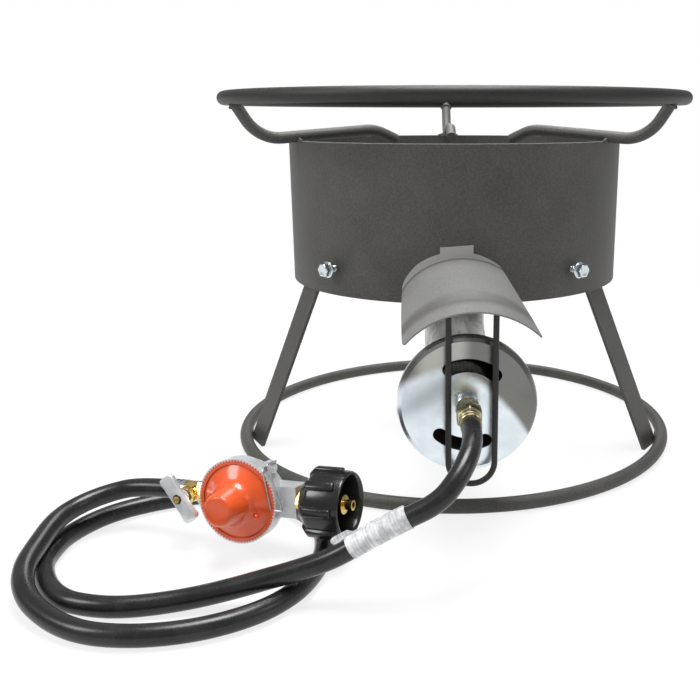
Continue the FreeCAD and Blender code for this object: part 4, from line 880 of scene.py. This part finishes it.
class STAND_OT_cover(bpy.types.Operator):
    """Spin the regulator's cover with its dome, vent and toothed edge"""

    bl_idname = "stand.cover"
    bl_label = "Regulator cover"

    def execute(self, context):
        cover = join(self.dome(), self.vent())
        settle(cover, "stand", orange_paint, GROUP, ("regulator_cover",))
        settle(self.toothed_ring(), "stand", orange_paint, GROUP)
        return {"FINISHED"}

    def dome(self):
        """Sheet spun to a rim, a cone and a round nose, in millimetres on the cover's axis."""
        rim = (29.2, 15.2)
        foot = (15.6, 23.5)
        nose = (11.6, 44.4)
        cover = lathe("spun_cover", [
            (28.5, 13.2), (30.2, 13.2), (30.2, 15.2), rim, foot, nose, (5.0, 44.5), (0, 44.5), (0, 42.5),
            (7.1, 42.5), (9.6, 40.0), (13.6, 22.5), (28.5, 13.2)], steps=96)
        soften(cover, on_circle(*nose), 2.6 * MM, 5)
        soften(cover, on_circle(*foot), 4.5 * MM, 6)
        return soften(cover, on_circle(*rim), 0.5 * MM, 2)

    def vent(self):
        """Small stud on the cone, with a round top."""
        vent = begin("cover_vent", bpy.ops.mesh.primitive_cylinder_add, vertices=24, radius=1.9 * MM,
                     depth=4 * MM, location=(19.0 * MM, -8.9 * MM, 21.0 * MM))
        return soften(vent, lambda edge: all(vert.co.z > 1.9 * MM for vert in edge.verts), 0.8 * MM, 3)

    def toothed_ring(self):
        """Flat ring with a tooth that is copied all the way round."""
        low, high = 16.42, 16.58
        ring = lathe("crimp_ring", [
            (28.9, low), (31.2, low), (31.2, high), (28.9, high), (28.9, low)], steps=96)
        tooth = begin("crimp_tooth", bpy.ops.mesh.primitive_cube_add, size=1,
                      location=(31.5 * MM, 0, 16.5 * MM), scale=(1.4 * MM, 1.35 * MM, 0.16 * MM))
        # The cube is still of unit size in its mesh, so its corners are rounded by a share of it.
        soften(tooth, lambda edge: all(vert.co.x > 0 for vert in edge.verts)
               and abs(edge.verts[0].co.z - edge.verts[1].co.z) > 0.5, 0.3, 2)
        count = sizes().tooth_count
        teeth = [copy_of(tooth, Matrix.Rotation(2 * math.pi * step / count, 4, "Z") @ tooth.matrix_world)
                 for step in range(1, count)]
        return join(ring, tooth, *teeth)


class STAND_OT_handle(bpy.types.Operator):
    """Form the valve's wing handle and the screw that holds it"""

    bl_idname = "stand.handle"
    bl_label = "Valve handle"

    def execute(self, context):
        # The stem's frame stands on the valve, with Z out of it.
        stem = GROUP @ Matrix.Translation((VALVE_PLACE * MM, 0, 0))
        wing = self.wing()
        hub = lathe("handle_hub", [(0, 17.35), (5.4, 17.35), (6.0, 17.9), (6.0, 19.6), (0, 19.6)], 40)
        wing.matrix_world = Matrix.Rotation(math.radians(HANDLE_TURN), 4, "Z")
        settle(join(wing, hub), "handle", die_casting, stem, ("t_handle",))
        settle(self.screw(), "handle", brass, stem, ("handle_screw",))
        # Painted shade: a thin black ring round the screw head stands for the shade in the gap between the
        # screw and the handle.
        shade_ring = lathe("screw_washer", [
            (2.3, 25.16), (3.8, 25.16), (3.6, 25.5), (2.3, 25.5), (2.3, 25.16)], 40)
        settle(shade_ring, "handle", black_plastic, stem)
        return {"FINISHED"}

    def wing(self):
        """Flat bar that widens towards both ends and closes in a round."""
        wing = begin("wing_handle", bpy.ops.mesh.primitive_cube_add, size=1)
        with editing(wing, "FACE"):
            bpy.ops.mesh.select_all(action="SELECT")
            bpy.ops.transform.resize(value=(22 * MM, 11.6 * MM, 5.6 * MM))
            bpy.ops.transform.translate(value=(0, 0, 22.35 * MM))
            for side in (-1, 1):
                for reach, widening in ((6 * MM, 1.16), (3 * MM, 0.76)):
                    choose(wing, "faces", lambda face: face.normal.x * side > 0.9)
                    bpy.ops.mesh.extrude_region_move(TRANSFORM_OT_translate={"value": (side * reach, 0, 0)})
                    bpy.ops.transform.resize(value=(1, widening, 1))
        return soften(wing, lambda edge: edge.calc_face_angle(0) > 0.9, 1.5 * MM, 4)

    def screw(self):
        """Round screw head with a hollow."""
        screw = begin("socket_screw", bpy.ops.mesh.primitive_cylinder_add, vertices=36, radius=2.6 * MM,
                      depth=1.4 * MM, location=(0, 0, 26.05 * MM))
        with editing(screw, "FACE"):
            choose(screw, "faces", lambda face: face.normal.z > 0.9)
            bpy.ops.mesh.inset(thickness=1.2 * MM)
            bpy.ops.mesh.extrude_region_move(TRANSFORM_OT_translate={"value": (0, 0, -0.9 * MM)})
        return soften(screw, lambda edge: all(vert.co.z > 0.6 * MM for vert in edge.verts)
                      and edge.is_manifold and edge.calc_face_angle(0) > 0.9, 0.25 * MM, 2)


class STAND_OT_hood(bpy.types.Operator):
    """Press the heat shield's sheet with its bends, its flange and its tab"""

    bl_idname = "stand.hood"
    bl_label = "Heat shield"

    def execute(self, context):
        hood = join(self.sheet("pressed_hood", self.arch()), self.sheet("hood_tab", self.tab()))
        settle(hood, "stand", hood_paint, replaced=("heat_shield",), smooth=30)
        return {"FINISHED"}

    def arch(self):
        """Rows of points from the flange's edge to the lip."""
        across = [step / 16 - 1 for step in range(33)]
        rows = [[self.on_wall(share, part * self.flange(share)) for share in across]
                for part in (1.0, 0.5, 0.0)]
        return rows + [[self.roof(reach, share) for share in across] for reach in HOOD_ROWS]

    def tab(self):
        """Two rows of points on the guard's wall, the upper one aslant."""
        edge = [TAB_LEFT + TAB_WIDTH * step / 8 for step in range(9)]
        return [[self.wall_point(across, TAB_FOOT) for across in edge],
                [self.wall_point(across, TAB_TOP + TAB_SLANT * across) for across in edge]]

    def roof(self, reach, share, lift=0.0):
        """Point of the arch at a distance out from the guard; the share runs from edge to edge."""
        out = reach / HOOD_REACH
        drop = HOOD_SLOPE * reach + LIP_SLOPE * max(reach - FOLD_END, 0)
        step = min(1, max(0, (reach - FOLD_START) / (FOLD_END - FOLD_START)))
        # Towards the right edge the fold fades into an even fall.
        fade = max(0, -2 * share - 1)
        drop += FOLD_DROP * (step * step * (3 - 2 * step) * (1 - fade) + out * fade)
        if share > 0 and reach > CORNER_START:
            past = (reach - CORNER_START) / (HOOD_REACH - CORNER_START)
            share *= 1 - CORNER_SHARE * (1 - math.sqrt(1 - past ** 2))
        radius = between(HOOD_RADII, out)
        turn = math.radians(share * between(HOOD_HALF_ANGLES, out) + between(HOOD_LEANS, out))
        return Vector((HOOD_DRIFT * reach - (radius + lift) * math.sin(turn), -HOOD_START - reach,
                       HOOD_TOP - drop - radius + (radius + lift) * math.cos(turn)))

    def flange(self, share):
        """Width of the flange, which runs out at both ends."""
        left = max(0, 1 - max(0, share - FLANGE_LEFT) / (1 - FLANGE_LEFT))
        right = max(0, 1 - max(0, -share - FLANGE_RIGHT) / (1 - FLANGE_RIGHT))
        return FLANGE_WIDTH * min(left ** 0.6, right ** 0.8)

    def on_wall(self, share, lift):
        """Where the arch, or its flange, meets the guard's wall; a few rounds settle it."""
        point = self.roof(0, share, lift)
        for _ in range(5):
            point = self.roof(-HOOD_START - self.wall_point(point.x, 0).y, share, lift)
        return point

    def wall_point(self, across, height):
        """Point on the front of the guard's wall."""
        return Vector((across, -math.sqrt(HOOD_WALL ** 2 - across ** 2), height))

    def sheet(self, name, rows):
        """Sheet through rows of points in millimetres, with its thickness inwards."""
        chains = [outline("%s_%d" % (name, index), [point * MM for point in row])
                  for index, row in enumerate(rows)]
        piece = join(*chains)
        piece.name = name
        piece.data.name = name
        with editing(piece):
            bpy.ops.mesh.select_all(action="SELECT")
            bpy.ops.mesh.bridge_edge_loops(type="SINGLE")
        clean(piece)
        middle = min(piece.data.polygons, key=lambda face: abs(face.center.x))
        if middle.normal.z < 0 or middle.normal.y > 0.5:
            with editing(piece):
                bpy.ops.mesh.select_all(action="SELECT")
                bpy.ops.mesh.flip_normals()
        return finished(piece, "SOLIDIFY", thickness=HOOD_SHEET * MM, offset=-1)


class STAND_OT_wheel(bpy.types.Operator):
    """Mould the handwheel with its rounded ribs and its hollow"""

    bl_idname = "stand.wheel"
    bl_label = "Handwheel"

    def execute(self, context):
        drum = lathe("ribbed_wheel", [
            (6.05, 51.15), (14.6, 51.15), (16.4, 51.6), (17.6, 52.8), (23.6, 58.8), (24.7, 60.4),
            (25.0, 62.4), (25.0, 85.2), (24.7, 86.5), (23.9, 87.15), (23.0, 86.9), (22.3, 85.9),
            (21.5, 84.4), (21.5, 66.0), (20.0, 64.5), (6.05, 64.5), (6.05, 51.15)], steps=96)
        rib = self.rib()
        count = sizes().rib_count
        ribs = [copy_of(rib, Matrix.Rotation(2 * math.pi * step / count, 4, "Z")) for step in range(1, count)]
        along_x = Matrix.Rotation(math.radians(90), 4, "Y")
        wheel = join(drum, rib, *ribs)
        settle(wheel, "wheel", black_plastic, GROUP @ along_x, ("handwheel",))
        return {"FINISHED"}

    def rib(self):
        """Rounded bar along the drum, drawn in to its narrow end."""
        rib = begin("wheel_rib", bpy.ops.mesh.primitive_cube_add, size=1)
        with editing(rib, "FACE"):
            bpy.ops.mesh.select_all(action="SELECT")
            bpy.ops.transform.resize(value=(6 * MM, 8.6 * MM, 22 * MM))
            bpy.ops.transform.translate(value=(24.9 * MM, 0, 71 * MM))
            choose(rib, "faces", lambda face: face.normal.x > 0.9)
            bpy.ops.transform.resize(value=(1, 0.8, 1))
            choose(rib, "faces", lambda face: face.normal.z < -0.9)
            bpy.ops.mesh.extrude_region_move(TRANSFORM_OT_translate={"value": (-5.5 * MM, 0, -5.5 * MM)})
            bpy.ops.transform.resize(value=(1, 0.72, 1))
            choose(rib, "faces", lambda face: face.normal.z > 0.9)
            bpy.ops.transform.resize(value=(1, 0.86, 1))
        return soften(rib, lambda edge: edge.calc_face_angle(0) > 0.5
                      and max(vert.co.x for vert in edge.verts) > 20 * MM, 1.3 * MM, 3)


class STAND_OT_nut(bpy.types.Operator):
    """Make the burner's swivel nut with worn corners, one of them on top"""

    bl_idname = "stand.nut"
    bl_label = "Swivel nut"

    def execute(self, context):
        nut = lathe("hex_nut", [
            (8.7, 256.6), (9.9, 256.6), (10.9, 257.5), (10.9, 271.8), (9.3, 274.5), (6.6, 274.5),
            (6.6, 270.5), (8.7, 270.5), (8.7, 256.6)], steps=6)
        soften(nut, lambda edge: edge.calc_face_angle(0) > 0.5
               and all(math.hypot(vert.co.x, vert.co.y) > 9 * MM for vert in edge.verts), 0.35 * MM, 2)
        corner_up = Matrix.Rotation(math.radians(30), 4, "Z")
        settle(nut, "stand", dull_brass, FRONT @ corner_up, ("swivel_nut",))
        return {"FINISHED"}


class STAND_OT_bolts(bpy.types.Operator):
    """Make the two flange bolts that stand out of the guard"""

    bl_idname = "stand.bolts"
    bl_label = "Guard bolts"

    def execute(self, context):
        across_flats = 11.1
        head = begin("flange_bolts", bpy.ops.mesh.primitive_cylinder_add, vertices=6,
                     radius=across_flats / math.sqrt(3) * MM, depth=5.2 * MM, location=(0, 0, 4.0 * MM))
        with editing(head, "FACE"):
            choose(head, "faces", lambda face: face.normal.z > 0.9)
            bpy.ops.mesh.inset(thickness=0.9 * MM)
            bpy.ops.transform.translate(value=(0, 0, 0.45 * MM))
            bpy.ops.mesh.inset(thickness=1.6 * MM)
            bpy.ops.transform.translate(value=(0, 0, -0.5 * MM))
        soften(head, lambda edge: edge.calc_face_angle(0) > 0.7, 0.25 * MM, 2)
        flange = lathe("bolt_flange", [(0, 0), (6.9, 0), (7.3, 0.35), (7.3, 0.9), (5.9, 1.6), (0, 1.9)], 48)
        shank = lathe("bolt_shank", [(0, -23.3), (2.4, -23.3), (2.85, -22.7), (2.85, 0.2), (0, 0.2)], 32)
        turns = helix(radius=2.75, start=-22.6, rise=22.4, turns=17.6)
        thread = path("bolt_thread", turns, 0.95 * MM, sides=2, resolution=3)
        first = join(head, flange, shank, to_mesh(thread))
        select(first)
        bpy.ops.object.transform_apply(location=True, rotation=True, scale=True)
        places = [outward(azimuth, BOLT_REACH, BOLT_HEIGHT) for azimuth in BOLT_AZIMUTHS]
        second = copy_of(first, places[1])
        first.matrix_world = places[0]
        settle(join(first, second), "stand", zinc_plate, replaced=("guard_bolts",))
        return {"FINISHED"}


class STAND_OT_welds(bpy.types.Operator):
    """Lay the weld beads of the frame"""

    bl_idname = "stand.welds"
    bl_label = "Welds"

    def execute(self, context):
        for name, azimuth in SUPPORT_AZIMUTHS.items():
            self.bead("ring_weld_" + name, round_piece(azimuth, self.collar()), thickness=3.2)
            for side in (-1, 1):
                run = round_piece(azimuth, self.along_guard(side))
                self.bead("guard_weld_%s_%d" % (name, side + 1), run, thickness=3.4)
        for name, azimuth in FOOT_AZIMUTHS.items():
            self.bead("foot_weld_" + name, round_piece(azimuth, self.across_foot()), thickness=3.6)
        return {"FINISHED"}

    def collar(self):
        """Circle round a support's end, under the top ring."""
        slope = math.radians(57.8)
        middle = Vector((218.4, 0, 336.0))
        side = Vector((-math.sin(slope), 0, math.cos(slope)))
        return [middle + 5.6 * (side * math.cos(turn) + Vector((0, 1, 0)) * math.sin(turn))
                for turn in (step * math.pi / 6 for step in range(13))]

    def along_guard(self, side):
        """Short run on the guard's top edge, on one side of a support."""
        return [(162.6, side * (5.4 + step), 305.6 - 0.35 * step) for step in (0, 1.5, 3, 4.5, 6)]

    def across_foot(self):
        """Run where a leg's foot meets the base ring, sagging at both ends."""
        return [(214.6, aside, 8.2 - 0.02 * aside * aside) for aside in range(-6, 7, 2)]

    def bead(self, name, points, thickness):
        """Uneven bead along points, of a thickness in millimetres."""
        swell = [0.82 + 0.18 * math.sin(2.4 * step) for step in range(len(points))]
        bead = to_mesh(path(name, points, thickness * MM, swell, sides=4, resolution=5))
        roughen(bead, grain=1.6, depth=0.5)
        settle(bead, "stand", satin_paint)


# Stage and panel

class STAND_OT_stage(bpy.types.Operator):
    """White floor, soft light and the camera"""

    bl_idname = "stand.stage"
    bl_label = "Stage"

    def execute(self, context):
        floor = begin("floor", bpy.ops.mesh.primitive_plane_add, size=30)
        floor.data.materials.append(bpy.data.materials.new("white_floor"))
        self.paint_floor(Shading(floor.data.materials[0]))
        context.scene.world = bpy.data.worlds.new("studio")
        self.paint_world(Shading(context.scene.world))
        for name, settings in LAMPS.items():
            lamp(name, *settings)
        bpy.ops.object.camera_add(location=CAMERA_PLACE,
                                  rotation=(math.radians(CAMERA_TILT), 0, math.radians(CAMERA_TURN)))
        camera = bpy.context.object
        camera.name = "camera"
        camera.data.lens = CAMERA_LENS
        camera.data.sensor_width = CAMERA_SENSOR
        camera.data.shift_x = CAMERA_SHIFT
        context.scene.camera = camera
        context.scene.view_settings.view_transform = "Standard"
        return {"FINISHED"}

    def paint_floor(self, floor):
        """Pale floor that keeps the shadow near the stand and looks white far off."""
        far = floor.node("ShaderNodeVectorMath", {"operation": "LENGTH"}, {0: floor.place()}, "Value")
        glow = floor.seen("Camera", "Glossy", "Transmission") * floor.span(far, 0.3, 1.1, 0.8, 1.0)
        plain = floor.node("ShaderNodeBsdfDiffuse", {}, {"Color": (0.8, 0.8, 0.8, 1)})
        white = floor.node("ShaderNodeEmission", {}, {"Color": WHITE, "Strength": 1.0})
        both = floor.node("ShaderNodeMixShader", {}, {0: glow, 1: plain, 2: white})
        floor.node("ShaderNodeOutputMaterial", {}, {"Surface": both})

    def paint_world(self, world):
        """White behind the stand, and an even grey light on it."""
        grey = world.node("ShaderNodeBackground", {}, {"Color": (0.36, 0.36, 0.37, 1), "Strength": 1.0})
        white = world.node("ShaderNodeBackground", {}, {"Color": WHITE, "Strength": 1.0})
        seen = world.seen("Camera", "Transmission")
        both = world.node("ShaderNodeMixShader", {}, {0: seen, 1: grey, 2: white})
        world.node("ShaderNodeOutputWorld", {}, {"Surface": both})


def lamp(name, power, width, place, target):
    """Square soft lamp that points at a target."""
    bpy.ops.object.light_add(type="AREA", location=place)
    light = bpy.context.object
    light.name = name + "_lamp"
    light.data.energy = power
    light.data.size = width
    light.rotation_euler = (Vector(target) - Vector(place)).to_track_quat("-Z", "Y").to_euler()


class STAND_PT_panel(bpy.types.Panel):
    """Steps of the dressing, in order"""

    bl_idname = "STAND_PT_panel"
    bl_label = "Gas burner stand"
    bl_space_type = "VIEW_3D"
    bl_region_type = "UI"
    bl_category = "Burner"

    def draw(self, context):
        for step in STEPS:
            self.layout.operator(step.bl_idname)


STEPS = (STAND_OT_finishes, STAND_OT_stage, STAND_OT_hose, STAND_OT_sleeve, STAND_OT_springs, STAND_OT_cover,
         STAND_OT_handle, STAND_OT_hood, STAND_OT_wheel, STAND_OT_nut, STAND_OT_bolts, STAND_OT_welds)
CLASSES = (StandColours, StandSizes, *STEPS, STAND_PT_panel)


def register():
    for item in CLASSES:
        bpy.utils.register_class(item)
    bpy.types.Scene.stand_colours = bpy.props.PointerProperty(type=StandColours)
    bpy.types.Scene.stand_sizes = bpy.props.PointerProperty(type=StandSizes)


def unregister():
    del bpy.types.Scene.stand_sizes
    del bpy.types.Scene.stand_colours
    for item in reversed(CLASSES):
        bpy.utils.unregister_class(item)


def main():
    register()
    for step in STEPS:
        group, name = step.bl_idname.split(".")
        getattr(getattr(bpy.ops, group), name)()


if __name__ == "__main__":
    main()
